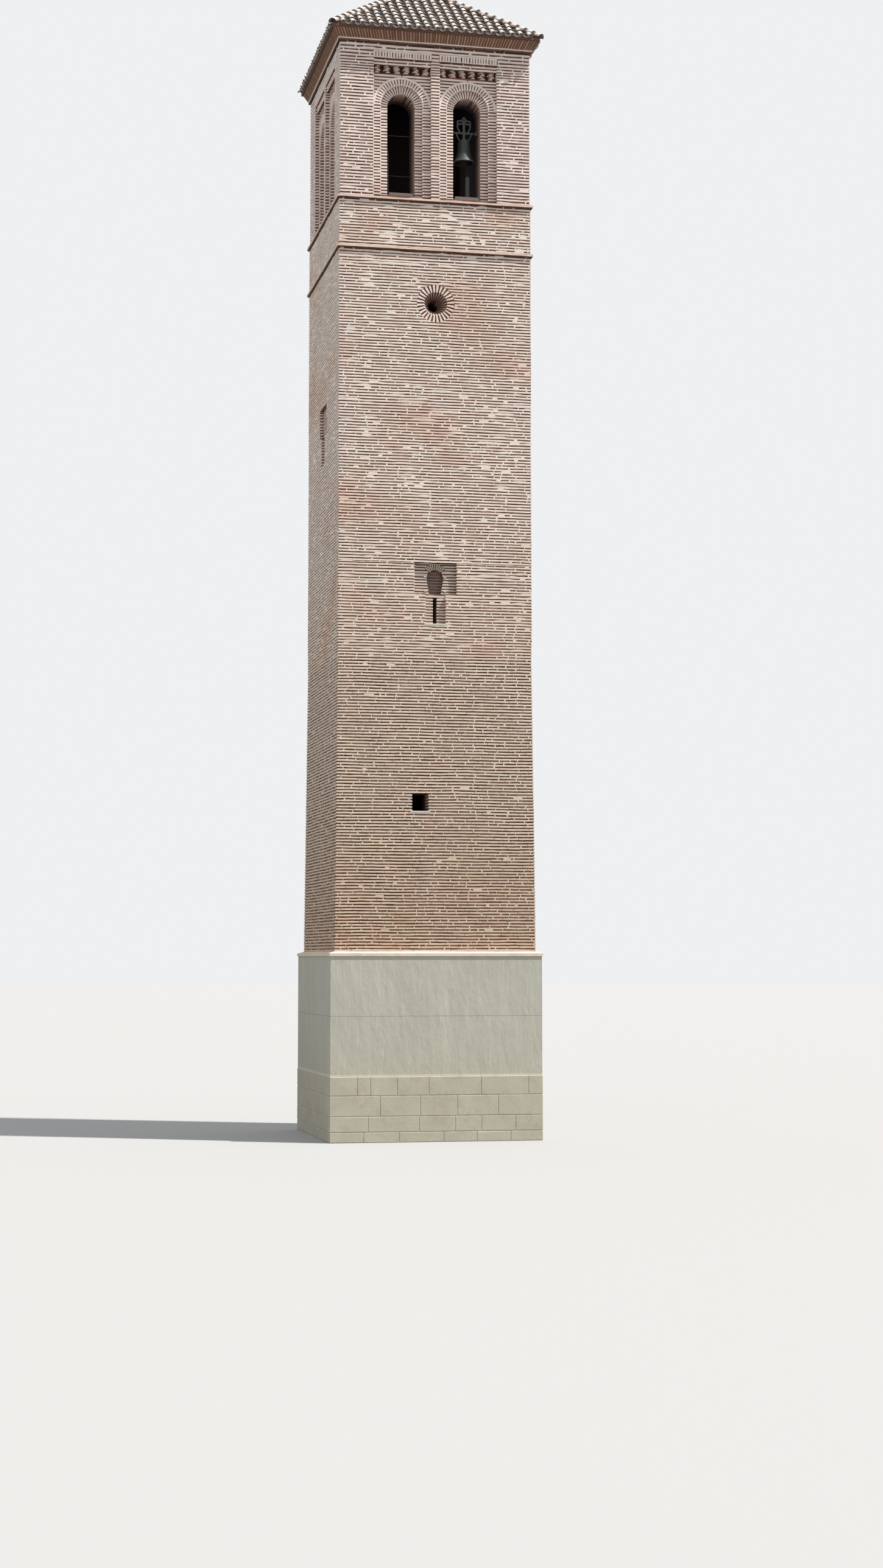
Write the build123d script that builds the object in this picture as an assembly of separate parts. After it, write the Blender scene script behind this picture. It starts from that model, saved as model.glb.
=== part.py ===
from build123d import *
import math
import os

# Square brick bell tower, modelled in millimetres with +Z up.
# The origin is the middle of the flat underside, and the face with the bell looks towards -Y.

# Width of the upper shaft, and how far each other stage stands out from or inside it on every face
shaft_width = 4880
shaft_batter = 70
plinth_projection = 140
belfry_inset = 15

# Heights of the stages, from the ground up
socle_height = 1600
plinth_height = 2930
coping_edge_height = 70
coping_fall = 50
lower_shaft_height = 7250
upper_shaft_height = 10270
string_height = 75
band_height = 1185
belfry_wall_height = 3415
head_height = 530
cornice_base_height = 80
cove_height = 205
roof_edge_height = 60
roof_rise = 2055

# How far the courses stand out from the wall below them
coping_overhang = 25
string_overhang = 55
cornice_base_overhang = 55
cove_foot_overhang = 80
cove_head_overhang = 190
eaves_overhang = 235

# Belfry faces: two recessed panels between corner piers and a narrow pilaster
corner_pier_width = 827
pilaster_width = 196
panel_recess = 100
arch_order_recess = 100
outer_order_width = 1100
opening_width = 740
room_corner_margin = 27
opening_base_height = 95
springing_height = 2385
sill_length = 610
sill_depth = 560
sill_thickness = 90
sill_setback = 150

# Sawtooth frieze over each panel, and the ledge that it carries
frieze_height = 200
tooth_count = 6
tooth_depth = 125
frieze_backing = 30
ledge_height = 155
ledge_setback = 40

# Belfry floor, let into the wall all round
floor_thickness = 150
floor_bearing = 120
floor_clearance = 3

# Small square window in the lower shaft
square_window_size = 445
square_window_offset = -390
square_window_rise = 3450

# Horseshoe windows in the upper shaft: framed niche over a slot with a slit
front_window_rise = 870
side_window_rise = 5220
frame_width = 1100
frame_height = 780
frame_recess = 100
niche_panel_thickness = 130
niche_width = 480
niche_foot_width = 330
niche_head_width = 370
niche_shoulder_height = 440
slot_width = 540
slot_height = 755
slit_width = 130
slit_height = 670

# Round window under the lower string course
oculus_drop = 1310
oculus_ring_radius = 480
oculus_splay_radius = 305
oculus_hole_radius = 145
oculus_ring_depth = 250

# Roof slabs and the round tiles along the hips
roof_thickness = 220
hip_radius = 110

# Bell, yoke and bearings in the right-hand front opening
bell_depth = 560
bell_mouth_radius = 274
bell_rim_height = 20
bell_bow_radius = 226
bell_bow_height = 95
bell_flare_radius = 190
bell_flare_height = 200
bell_waist_radius = 158
bell_waist_height = 370
bell_throat_height = 290
bell_height = 560
bell_lip_thickness = 36
bell_wall_thickness = 24
crown_plate_radius = 150
crown_plate_thickness = 20
bell_hang = 190
axle_height = 1955
gudgeon_radius = 20
gudgeon_clearance = 0.5
axle_end_gap = 8
yoke_half_length = 245
yoke_bar_height = 44
yoke_thickness = 60
yoke_foot_half_width = 90
yoke_side_half_width = 165
yoke_knee_height = 140
yoke_cross_height = 225
yoke_cross_rise = 40
yoke_shoulder_height = 320
yoke_peak_half_width = 65
yoke_peak_height = 420
yoke_rib_width = 34
yoke_stem_width = 60
stay_width = 30
stay_spread = 90
bearing_length = 80
bearing_depth = 120
bearing_height = 110
post_width = 90
post_height = 610
post_tip_height = 80
post_offset = 90

# Levels worked out from the heights
socle_top = socle_height
plinth_top = socle_top + plinth_height
coping_top = plinth_top + coping_edge_height + coping_fall
knee_level = coping_top + lower_shaft_height
lower_string_level = knee_level + upper_shaft_height
band_level = lower_string_level + string_height
upper_string_level = band_level + band_height
belfry_level = upper_string_level + string_height
square_window_sill = coping_top + square_window_rise
front_window_sill = knee_level + front_window_rise
side_window_sill = knee_level + side_window_rise
oculus_level = lower_string_level - oculus_drop
head_level = belfry_level + belfry_wall_height
cornice_level = head_level + head_height
cove_level = cornice_level + cornice_base_height
roof_level = cove_level + cove_height
apex_level = roof_level + roof_edge_height + roof_rise

# Half widths, panel places and depths worked out from the widths
shaft_half = shaft_width / 2
shaft_foot_half = shaft_half + shaft_batter
plinth_half = shaft_foot_half + plinth_projection
belfry_half = shaft_half - belfry_inset
eaves_half = belfry_half + eaves_overhang
panel_edge = belfry_half - corner_pier_width
panel_width = panel_edge - pilaster_width / 2
panel_centre = (pilaster_width + panel_width) / 2
room_half = panel_centre + outer_order_width / 2 + room_corner_margin
opening_base = belfry_level + opening_base_height
springing_level = belfry_level + springing_height
frieze_level = head_level - frieze_height
axle_level = belfry_level + axle_height
front_plane = -belfry_half
inner_order_front = front_plane + panel_recess + arch_order_recess

# Turns about Z that carry a front piece to each face
FACE_TURNS = {"front": 0, "right": 90, "back": 180, "left": 270}


def block(x_low, x_high, y_low, y_high, z_low, z_high):
    """Plain rectangular block between two corners."""
    size = (x_high - x_low, y_high - y_low, z_high - z_low)
    centre = ((x_low + x_high) / 2, (y_low + y_high) / 2, (z_low + z_high) / 2)
    return Pos(*centre) * Box(*size)


def square_stage(z_low, z_high, half_low, half_high):
    """Solid square block that tapers evenly to its narrower end, which may be either one."""
    height = z_high - z_low
    wide = max(half_low, half_high)
    slope = math.degrees(math.atan(abs(half_low - half_high) / height))
    solid = extrude(Rectangle(2 * wide, 2 * wide), amount=height, taper=slope)
    if half_high > half_low:
        return Pos(0, 0, z_high) * Rot(180, 0, 0) * solid
    return Pos(0, 0, z_low) * solid


def square_ring(z_low, z_high, half_low, half_high, half_inside):
    """Square course that runs round the hollow tower."""
    inside = block(-half_inside, half_inside, -half_inside, half_inside, z_low, z_high)
    return square_stage(z_low, z_high, half_low, half_high) - inside


def front_wedge(z_low, z_high):
    """Quarter of the plan that belongs to the front face, out past the widest stage."""
    reach = 2 * plinth_half
    plan = make_face(Polyline((0, 0), (-reach, -reach), (reach, -reach), close=True))
    return Pos(0, 0, z_low) * extrude(plan, amount=z_high - z_low)


def mitred_wall(z_low, z_high, half_low, half_high, half_inside):
    """Front wall of a stage, cut at the corners where it meets its neighbours."""
    return square_ring(z_low, z_high, half_low, half_high, half_inside) & front_wedge(z_low, z_high)


def turned(shape, face):
    """The same piece on another face of the tower."""
    return Rot(0, 0, FACE_TURNS[face]) * shape


def arched_block(x_centre, width, z_low, z_spring, y_low, y_high):
    """Round-headed block that runs from front to back."""
    radius = width / 2
    jambs = block(x_centre - radius, x_centre + radius, y_low, y_high, z_low, z_spring)
    head = Pos(x_centre, (y_low + y_high) / 2, z_spring) * Rot(90, 0, 0) * Cylinder(radius, y_high - y_low)
    return jambs + head


def face_cylinder(radius, level, y_low, y_high):
    """Round bar or hole in the middle of the front face, square to it."""
    return Pos(0, (y_low + y_high) / 2, level) * Rot(90, 0, 0) * Cylinder(radius, y_high - y_low)


def extrude_xz(outline, y_low, y_high):
    """Plate with an outline in X and Z, between two depths."""
    plane = Plane(origin=(0, y_high, 0), x_dir=(1, 0, 0), z_dir=(0, -1, 0))
    return extrude(plane * make_face(outline), amount=y_high - y_low)


def socle():
    return square_stage(0, socle_top, plinth_half, plinth_half)


def plinth():
    return square_ring(socle_top, plinth_top, plinth_half, plinth_half, room_half)


def coping():
    """Thin capping with a vertical edge and a weathered top that falls to the edge."""
    edge_half = plinth_half + coping_overhang
    edge_top = plinth_top + coping_edge_height
    edge = square_ring(plinth_top, edge_top, edge_half, edge_half, room_half)
    fall = square_ring(edge_top, coping_top, edge_half, shaft_foot_half, room_half)
    return edge + fall


def lower_wall(windowed):
    wall = mitred_wall(coping_top, knee_level, shaft_foot_half, shaft_half, room_half)
    if windowed:
        half = square_window_size / 2
        sides = (square_window_offset - half, square_window_offset + half)
        levels = (square_window_sill, square_window_sill + square_window_size)
        wall -= block(*sides, -plinth_half, 0, *levels)
    return wall


def horseshoe_window(sill):
    """Frame recess, slot and slit that the upper wall loses at a horseshoe window."""
    slot_back = -shaft_half + frame_recess
    panel_back = slot_back + niche_panel_thickness
    frame_low = sill + slot_height
    frame_top = frame_low + frame_height
    recess = block(-frame_width / 2, frame_width / 2, -plinth_half, panel_back, frame_low, frame_top)
    slot = block(-slot_width / 2, slot_width / 2, -plinth_half, slot_back, sill, frame_low)
    slit = block(-slit_width / 2, slit_width / 2, -plinth_half, 0, sill, sill + slit_height)
    return recess + slot + slit


def niche_panel(sill):
    """Brick panel inside the frame, with the horseshoe niche cut through it."""
    low = sill + slot_height
    shoulder = low + niche_shoulder_height
    front = -shaft_half + frame_recess
    back = front + niche_panel_thickness
    panel = block(-frame_width / 2, frame_width / 2, front, back, low, low + frame_height)
    splay = Polyline(
        (-niche_foot_width / 2, low), (niche_foot_width / 2, low),
        (niche_width / 2, shoulder), (-niche_width / 2, shoulder), close=True
    )
    niche = extrude_xz(splay, front, back)
    return panel - niche - face_cylinder(niche_head_width / 2, shoulder, front, back)


def oculus_void():
    """Pocket for the oculus ring and the hole behind it."""
    ring_back = -shaft_half + oculus_ring_depth
    pocket = face_cylinder(oculus_ring_radius, oculus_level, -plinth_half, ring_back)
    return pocket + face_cylinder(oculus_hole_radius, oculus_level, -plinth_half, 0)


def oculus_ring():
    """Ring of radial bricks whose inside is splayed down to the small hole."""
    disc = Cylinder(oculus_ring_radius, oculus_ring_depth)
    splay = Cone(oculus_hole_radius, oculus_splay_radius, oculus_ring_depth)
    return Pos(0, -shaft_half + oculus_ring_depth / 2, oculus_level) * Rot(90, 0, 0) * (disc - splay)


def upper_wall(window_sill, with_oculus):
    wall = mitred_wall(knee_level, lower_string_level, shaft_half, shaft_half, room_half)
    wall -= horseshoe_window(window_sill)
    if with_oculus:
        wall -= oculus_void()
    return wall


def string_course(level):
    half = shaft_half + string_overhang
    return square_ring(level, level + string_height, half, half, room_half)


def plain_band():
    """Band between the strings, with the pocket that carries the belfry floor."""
    ring = square_ring(band_level, upper_string_level, shaft_half, shaft_half, room_half)
    pocket_half = room_half + floor_bearing + floor_clearance
    seat = upper_string_level - floor_thickness
    return ring - block(-pocket_half, pocket_half, -pocket_half, pocket_half, seat, upper_string_level)


def belfry_floor():
    half = room_half + floor_bearing
    return block(-half, half, -half, half, upper_string_level - floor_thickness, upper_string_level)


def corner_pier(x_sign, y_sign):
    near, far = sorted((x_sign * panel_edge, x_sign * belfry_half))
    front, back = sorted((y_sign * panel_edge, y_sign * belfry_half))
    return block(near, far, front, back, belfry_level, head_level)


def belfry_wall():
    """Wall behind the panels, with the outer order of its two arches cut through."""
    half = belfry_half - panel_recess
    wall = mitred_wall(belfry_level, head_level, half, half, room_half)
    for x_sign in (-1, 1):
        wall -= corner_pier(x_sign, -1)
        wall -= arched_block(
            x_sign * panel_centre, outer_order_width, opening_base, springing_level, -belfry_half, 0
        )
    frieze_back = front_plane + panel_recess + tooth_depth + frieze_backing
    wall -= block(-belfry_half, belfry_half, -belfry_half, frieze_back, frieze_level, head_level)
    return wall


def inner_arch(x_centre):
    """Set-back order of an arch, jambs and ring in one."""
    span = (opening_base, springing_level, inner_order_front, -room_half)
    outside = arched_block(x_centre, outer_order_width, *span)
    return outside - arched_block(x_centre, opening_width, *span)


def pilaster():
    half = pilaster_width / 2
    back = front_plane + panel_recess
    return block(-half, half, front_plane, back, belfry_level, head_level) + block(
        -half, half, back, back + tooth_depth + frieze_backing, frieze_level, head_level
    )


def sawtooth_frieze(x_centre):
    """Row of brick corners under the ledge of one panel."""
    tip = front_plane + panel_recess
    valley = tip + tooth_depth
    back = valley + frieze_backing
    pitch = panel_width / tooth_count
    start = x_centre - panel_width / 2
    points = [(start, back), (start, valley)]
    for tooth in range(tooth_count):
        points.append((start + (tooth + 0.5) * pitch, tip))
        points.append((start + (tooth + 1) * pitch, valley))
    points.append((start + panel_width, back))
    plan = Pos(0, 0, frieze_level) * make_face(Polyline(*points, close=True))
    return extrude(plan, amount=frieze_height)


def belfry_head():
    """Wall over the panels, set back a little where the friezes carry it."""
    ring = square_ring(head_level, cornice_level, belfry_half, belfry_half, room_half)
    for face in FACE_TURNS:
        for x_sign in (-1, 1):
            near, far = sorted((x_sign * pilaster_width / 2, x_sign * panel_edge))
            ledge_top = head_level + ledge_height
            rebate = block(near, far, front_plane, front_plane + ledge_setback, head_level, ledge_top)
            ring -= turned(rebate, face)
    return ring


def sill(x_centre):
    slab = Box(sill_length, sill_depth, sill_thickness)
    middle = front_plane + sill_setback + sill_depth / 2
    return Pos(x_centre, middle, opening_base + sill_thickness / 2) * slab


def cornice_base():
    half = belfry_half + cornice_base_overhang
    return square_ring(cornice_level, cove_level, half, half, room_half)


def cornice_cove():
    foot = belfry_half + cove_foot_overhang
    head = belfry_half + cove_head_overhang
    return square_ring(cove_level, roof_level, foot, head, room_half)


def roof_solid():
    """Whole roof to its upper surface: a low edge and a pyramid."""
    eaves_top = roof_level + roof_edge_height
    edge = square_stage(roof_level, eaves_top, eaves_half, eaves_half)
    return edge + roof_pyramid(eaves_top, eaves_half, apex_level)


def roof_pyramid(base_level, base_half, top_level):
    """Square pyramid that comes to a point at its top level."""
    plan = Pos(0, 0, base_level) * Rectangle(2 * base_half, 2 * base_half)
    slope = math.degrees(math.atan(base_half / (top_level - base_level)))
    return extrude(plan, amount=top_level - base_level, taper=slope)


def roof_slope():
    """One of four sloping slabs, hollow below and cut along the hips."""
    fall = roof_rise / eaves_half
    void_top = apex_level - roof_thickness
    void_half = (void_top - roof_level) / fall
    shell = roof_solid() - roof_pyramid(roof_level, void_half, void_top)
    return shell & front_wedge(roof_level, apex_level)


def roof_hips():
    """Round ridge tiles up the four hips, joined at the top."""
    eaves_top = roof_level + roof_edge_height
    hips = None
    for face in FACE_TURNS:
        corner = Vector(-eaves_half, -eaves_half, eaves_top)
        run = Vector(0, 0, apex_level) - corner
        plane = Plane(origin=corner, z_dir=run)
        hip = turned(extrude(plane * Circle(hip_radius), amount=run.length), face)
        hips = hip if hips is None else hips + hip
    hips += Pos(0, 0, apex_level) * Cylinder(hip_radius, 2 * hip_radius)
    bound = square_stage(roof_level, apex_level + 2 * hip_radius, eaves_half, eaves_half)
    return (hips & bound) - roof_solid()


def bell():
    """Bronze bell with a flared mouth, a straight waist and a flat plate at its head."""
    lip = axle_level - bell_hang - crown_plate_thickness - bell_height
    roof_under = bell_height - bell_wall_thickness
    outer_low = (bell_mouth_radius, 0)
    outer_rim = (bell_mouth_radius, bell_rim_height)
    outer_bow = (bell_bow_radius, bell_bow_height)
    outer_flare = (bell_flare_radius, bell_flare_height)
    outer_waist = (bell_waist_radius, bell_waist_height)
    outer_high = (bell_waist_radius, bell_height)
    inner_low = (bell_mouth_radius - bell_lip_thickness, 0)
    inner_throat = (bell_waist_radius - bell_wall_thickness, bell_throat_height)
    inner_high = (bell_waist_radius - bell_wall_thickness, roof_under)
    outline = [
        Line(outer_low, outer_rim),
        Line(outer_rim, outer_bow),
        Line(outer_bow, outer_flare),
        Line(outer_flare, outer_waist),
        Line(outer_waist, outer_high),
        Line(outer_high, (0, bell_height)),
        Line((0, bell_height), (0, roof_under)),
        Line((0, roof_under), inner_high),
        Line(inner_high, inner_throat),
        Line(inner_throat, inner_low),
        Line(inner_low, outer_low),
    ]
    profile = Plane.XZ * make_face(Wire(outline))
    shell = revolve(profile, axis=Axis.Z)
    plate = Cylinder(crown_plate_radius, crown_plate_thickness)
    plate = Pos(0, 0, bell_height + crown_plate_thickness / 2) * plate
    return Pos(panel_centre, front_plane + bell_depth, lip) * (shell + plate)


def yoke_plate(*corners):
    """Flat piece of the yoke, from corners given from the axle's middle."""
    outline = Polyline(*[(panel_centre + x, axle_level + z) for x, z in corners], close=True)
    middle = front_plane + bell_depth
    return extrude_xz(outline, middle - yoke_thickness / 2, middle + yoke_thickness / 2)


def yoke_bar(start, end, width):
    """Straight bar of the openwork, between two places from the axle's middle."""
    run = Vector(end[0] - start[0], end[1] - start[1])
    side = Vector(-run.Y, run.X).normalized() * (width / 2)
    return yoke_plate(
        (start[0] - side.X, start[1] - side.Y), (end[0] - side.X, end[1] - side.Y),
        (end[0] + side.X, end[1] + side.Y), (start[0] + side.X, start[1] + side.Y)
    )


def bell_yoke():
    """Iron yoke: axle bar, openwork above it, and a hanger and two stays down to the bell."""
    bar_half = yoke_bar_height / 2
    stem_half = yoke_stem_width / 2
    yoke = yoke_plate(
        (-yoke_half_length, -bar_half), (yoke_half_length, -bar_half),
        (yoke_half_length, bar_half), (-yoke_half_length, bar_half)
    )
    yoke += yoke_plate(
        (-stem_half, -bell_hang), (stem_half, -bell_hang),
        (stem_half, yoke_shoulder_height), (-stem_half, yoke_shoulder_height)
    )
    for side in (-1, 1):
        foot = (side * yoke_foot_half_width, 0)
        knee = (side * yoke_side_half_width, yoke_knee_height)
        shoulder = (side * yoke_side_half_width, yoke_shoulder_height)
        cross = (side * yoke_side_half_width, yoke_cross_height)
        yoke += yoke_bar(foot, knee, yoke_rib_width)
        yoke += yoke_bar(knee, shoulder, yoke_rib_width)
        yoke += yoke_bar(shoulder, (0, yoke_shoulder_height), yoke_rib_width)
        yoke += yoke_bar(cross, (0, yoke_cross_height + yoke_cross_rise), yoke_rib_width)
        peak_foot = (side * yoke_peak_half_width, yoke_shoulder_height)
        yoke += yoke_bar(peak_foot, (0, yoke_peak_height), yoke_rib_width)
        stay_foot = side * (crown_plate_radius - stay_width)
        stay_head = stay_foot + side * stay_spread
        yoke += yoke_plate(
            (stay_foot - stay_width / 2, -bell_hang), (stay_foot + stay_width / 2, -bell_hang),
            (stay_head + stay_width / 2, 0), (stay_head - stay_width / 2, 0)
        )
    axle = Pos(panel_centre, front_plane + bell_depth, axle_level) * Rot(0, 90, 0)
    return yoke + axle * Cylinder(gudgeon_radius, opening_width - 2 * axle_end_gap)


def bearing(x_sign):
    """Block on a jamb, bored for the end of the axle."""
    jamb = panel_centre + x_sign * opening_width / 2
    near, far = sorted((jamb, jamb - x_sign * bearing_length))
    place = Pos((near + far) / 2, front_plane + bell_depth, axle_level)
    bore = Rot(0, 90, 0) * Cylinder(gudgeon_radius + gudgeon_clearance, bearing_length)
    return place * (Box(bearing_length, bearing_depth, bearing_height) - bore)


def striker_post():
    """Square post of the striker, with a pointed head, on the sill under the bell."""
    foot_level = opening_base + sill_thickness
    neck_level = foot_level + post_height
    half = post_width / 2
    shaft = block(-half, half, -half, half, foot_level, neck_level)
    tip = roof_pyramid(neck_level, half, neck_level + post_tip_height)
    return Pos(panel_centre + post_offset, front_plane + bell_depth, 0) * (shaft + tip)


def compound(solids):
    return Compound(children=list(solids))


nodes = {
    "granite_socle": socle(),
    "rendered_plinth": plinth(),
    "plinth_coping": coping(),
    "lower_string_course": string_course(lower_string_level),
    "plain_band": plain_band(),
    "upper_string_course": string_course(upper_string_level),
    "belfry_floor": belfry_floor(),
    "belfry_corner_piers": compound(corner_pier(x, y) for x in (-1, 1) for y in (-1, 1)),
    "belfry_pilasters": compound(turned(pilaster(), face) for face in FACE_TURNS),
    "belfry_head": belfry_head(),
    "cornice_base_course": cornice_base(),
    "cornice_cove": cornice_cove(),
    "roof_hip_tiles": roof_hips(),
    "window_surrounds": compound([oculus_ring()] + [
        turned(niche_panel(front_window_sill if face in ("front", "back") else side_window_sill), face)
        for face in FACE_TURNS
    ]),
    "bell": bell(),
    "bell_yoke": bell_yoke(),
    "bell_bearings": compound(bearing(x_sign) for x_sign in (-1, 1)),
    "striker_post": striker_post(),
    "belfry_sills": compound(
        turned(sill(x), face) for face in FACE_TURNS for x in (-panel_centre, panel_centre)
    ),
}
for face in FACE_TURNS:
    window_sill = front_window_sill if face in ("front", "back") else side_window_sill
    both_sides = (-panel_centre, panel_centre)
    nodes[f"lower_shaft_{face}"] = turned(lower_wall(face == "front"), face)
    nodes[f"upper_shaft_{face}"] = turned(upper_wall(window_sill, face == "front"), face)
    nodes[f"belfry_wall_{face}"] = turned(belfry_wall(), face)
    nodes[f"inner_arches_{face}"] = compound(turned(inner_arch(x), face) for x in both_sides)
    nodes[f"sawtooth_frieze_{face}"] = compound(turned(sawtooth_frieze(x), face) for x in both_sides)
    nodes[f"roof_slope_{face}"] = turned(roof_slope(), face)

os.makedirs("parts", exist_ok=True)
for name, shape in nodes.items():
    export_step(shape, f"parts/{name}.step")
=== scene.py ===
"""Looks of a square brick bell tower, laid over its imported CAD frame.

Every size is in metres, with +Z up and the face with the bell towards -Y.
"""
import math
import random

import bmesh
import bpy
from bpy.props import FloatProperty, FloatVectorProperty, IntProperty, PointerProperty
from mathutils import Matrix, Vector, noise


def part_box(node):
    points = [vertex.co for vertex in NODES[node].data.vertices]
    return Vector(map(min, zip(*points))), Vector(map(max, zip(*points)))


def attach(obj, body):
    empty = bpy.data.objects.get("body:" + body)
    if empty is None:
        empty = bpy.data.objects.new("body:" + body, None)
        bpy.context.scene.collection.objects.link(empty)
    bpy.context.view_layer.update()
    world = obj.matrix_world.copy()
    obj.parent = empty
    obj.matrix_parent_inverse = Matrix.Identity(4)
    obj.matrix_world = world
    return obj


bl_info = {
    "name": "Brick Bell Tower",
    "version": (1, 0, 0),
    "blender": (4, 5, 0),
    "location": "3D View > Sidebar > Bell Tower",
    "description": "Lays brickwork, arches, roof tiles and finishes over the frame of a bell tower",
    "category": "Object",
}

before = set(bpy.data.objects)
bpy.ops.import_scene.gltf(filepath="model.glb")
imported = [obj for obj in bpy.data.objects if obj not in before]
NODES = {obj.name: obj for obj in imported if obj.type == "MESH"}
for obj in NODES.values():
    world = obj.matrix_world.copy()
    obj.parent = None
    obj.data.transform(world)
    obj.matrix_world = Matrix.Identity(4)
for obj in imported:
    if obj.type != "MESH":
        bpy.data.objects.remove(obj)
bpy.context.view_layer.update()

# Levels and half widths, read from the frame
SOCLE_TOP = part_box("granite_socle")[1].z
PLINTH_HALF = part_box("rendered_plinth")[1].x
COPING_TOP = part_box("plinth_coping")[1].z
FOOT_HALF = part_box("lower_shaft_front")[1].x
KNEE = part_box("lower_shaft_front")[1].z
SHAFT_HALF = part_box("upper_shaft_front")[1].x
SHAFT_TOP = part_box("upper_shaft_front")[1].z
STRING_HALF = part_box("upper_string_course")[1].x
BAND_LOW, BAND_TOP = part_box("plain_band")[0].z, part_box("plain_band")[1].z
BELFRY_LOW, BELFRY_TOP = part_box("belfry_corner_piers")[0].z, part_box("belfry_corner_piers")[1].z
BELFRY_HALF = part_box("belfry_corner_piers")[1].x
FRIEZE_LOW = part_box("sawtooth_frieze_front")[0].z
CORNICE_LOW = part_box("cornice_base_course")[0].z
CORNICE_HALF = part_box("cornice_base_course")[1].x
COVE_LOW, COVE_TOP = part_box("cornice_cove")[0].z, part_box("cornice_cove")[1].z
COVE_FOOT_HALF = BELFRY_HALF + 0.08
COVE_HEAD_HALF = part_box("cornice_cove")[1].x
EAVES_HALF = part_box("roof_slope_front")[1].x
EAVES_TOP = COVE_TOP + 0.06
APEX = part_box("roof_slope_front")[1].z

# Places on the faces, as in the frame's source
PANEL_CENTRE = 0.848
PANEL_INNER, PANEL_OUTER = 0.098, 1.598
PANEL_DEPTH = 0.10
ORDER_DEPTH = 0.20
JAMB_HALF, ORDER_HALF, RING_RADIUS = 0.37, 0.55, 0.74
REVEAL_DEPTH = 0.28
OPENING_LOW = BELFRY_LOW + 0.095
SPRINGING = BELFRY_LOW + 2.385
TEETH = 6
TOOTH_DEPTH = 0.125
LEDGE_TOP = BELFRY_TOP + 0.155
LEDGE_DEPTH = 0.04
SOLDIER_TOP = BELFRY_TOP + 0.34
WINDOW_LEFT, WINDOW_RIGHT = -0.6125, -0.1675
WINDOW_LOW, WINDOW_TOP = 8.10, 8.545
SLOT_SILLS = {"front": 12.77, "right": 17.12, "back": 12.77, "left": 17.12}
SLOT_HALF, SLIT_HALF = 0.27, 0.065
SLIT_HEIGHT, SLOT_HEIGHT, FRAME_HEIGHT = 0.67, 0.755, 0.78
FRAME_HALF = 0.55
FRAME_DEPTH, NICHE_DEPTH = 0.10, 0.23
NICHE_FOOT, NICHE_WIDE, NICHE_HEAD = 0.165, 0.24, 0.185
NICHE_RISE, NICHE_RING = 0.44, 0.325
NICHE_FAN = math.radians(38)
OCULUS = 20.86
OCULUS_RING, OCULUS_SPLAY, OCULUS_HOLE = 0.48, 0.305, 0.145
OCULUS_DEPTH = 0.25
COVE_BRICKS = 70

# Where the browner painted courses of the reveals begin, and where the painted shade inside the room is full,
# measured out from the tower's axis
REVEAL_COURSES_HALF = BELFRY_HALF - REVEAL_DEPTH
ROOM_SHADE_HALF = 1.55

# How deep the beds run into the small square window and into the slits
WINDOW_REVEAL, SLIT_REVEAL = 0.4, 0.5

# Level of the seam between two coats of render
RENDER_SEAM = 3.065

# Rows of granite, their joints, and how far the blocks stand out
GRANITE_LEVELS = (0.0, 0.254, 0.635, 1.134, SOCLE_TOP)
GRANITE_JOINT, GRANITE_PROUD = 0.011, 0.012

# Upright joints that show in the granite of the front, from the ground up
FRONT_JOINTS = ((), (-1.71, -0.45), (-1.42, -0.42),
                (-1.98, -1.66, -1.0, -0.21, 1.1, 2.3))

# Rails and post of the opening beside the bell
RAIL_LEVELS = (24.26, 25.30)
RAIL_RADIUS = 0.009
RAIL_DEPTH = 0.62
POST_WIDTH, POST_HEIGHT, POST_MIDDLE = 0.05, 0.62, 24.0

# How far the edges of raised mortar sink into the brick, and the width of their chamfer
SINK = 0.003
CHAMFER = 0.005

QUARTER_TURNS = {"front": 0, "right": 1, "back": 2, "left": 3}
FACES = tuple(QUARTER_TURNS)


def paint(red, green, blue):
    """Linear colour from the 0 to 255 values that a colour chart gives."""
    def channel(value):
        value /= 255
        return value / 12.92 if value <= 0.04045 else ((value + 0.055) / 1.055) ** 2.4
    return (channel(red), channel(green), channel(blue), 1.0)


def colour_property(name, description, red, green, blue):
    return FloatVectorProperty(name=name, description=description, subtype="COLOR", size=4, min=0, max=1,
                               default=paint(red, green, blue))


def length_property(name, description, default):
    return FloatProperty(name=name, description=description, default=default, unit="LENGTH")


def share_property(name, description, default):
    return FloatProperty(name=name, description=description, default=default, min=0.2, max=0.8)


class TowerBrickwork(bpy.types.PropertyGroup):
    """Sizes of the courses of brick and their wide beds of mortar."""
    lower_pitch: length_property("Lower course", "Height of one course of the lower shaft", 0.0763)
    upper_pitch: length_property("Upper course", "Height of one course of the upper shaft", 0.0744)
    belfry_pitch: length_property("Belfry course", "Height of one course of the belfry", 0.0794)
    bed_share: share_property("Bed share", "Share of a course that its bed of mortar takes", 0.63)
    lower_share: share_property("Lower bed share", "Share that a bed takes in the lower shaft", 0.58)
    bed_proud: length_property("Bed relief", "How far the beds stand out from the brick", 0.016)
    head_proud: length_property("Joint relief", "How far the upright joints stand out", 0.014)
    brick_length: length_property("Brick length", "Distance between upright joints", 0.27)
    segment: length_property("Bed step", "Length of one straight run of a bed", 0.1)
    wander: length_property("Wander", "How far the edge of a bed strays up and down", 0.009)
    arch_bricks: IntProperty(name="Arch bricks", description="Bricks round one arch ring", default=27, min=9)


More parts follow.
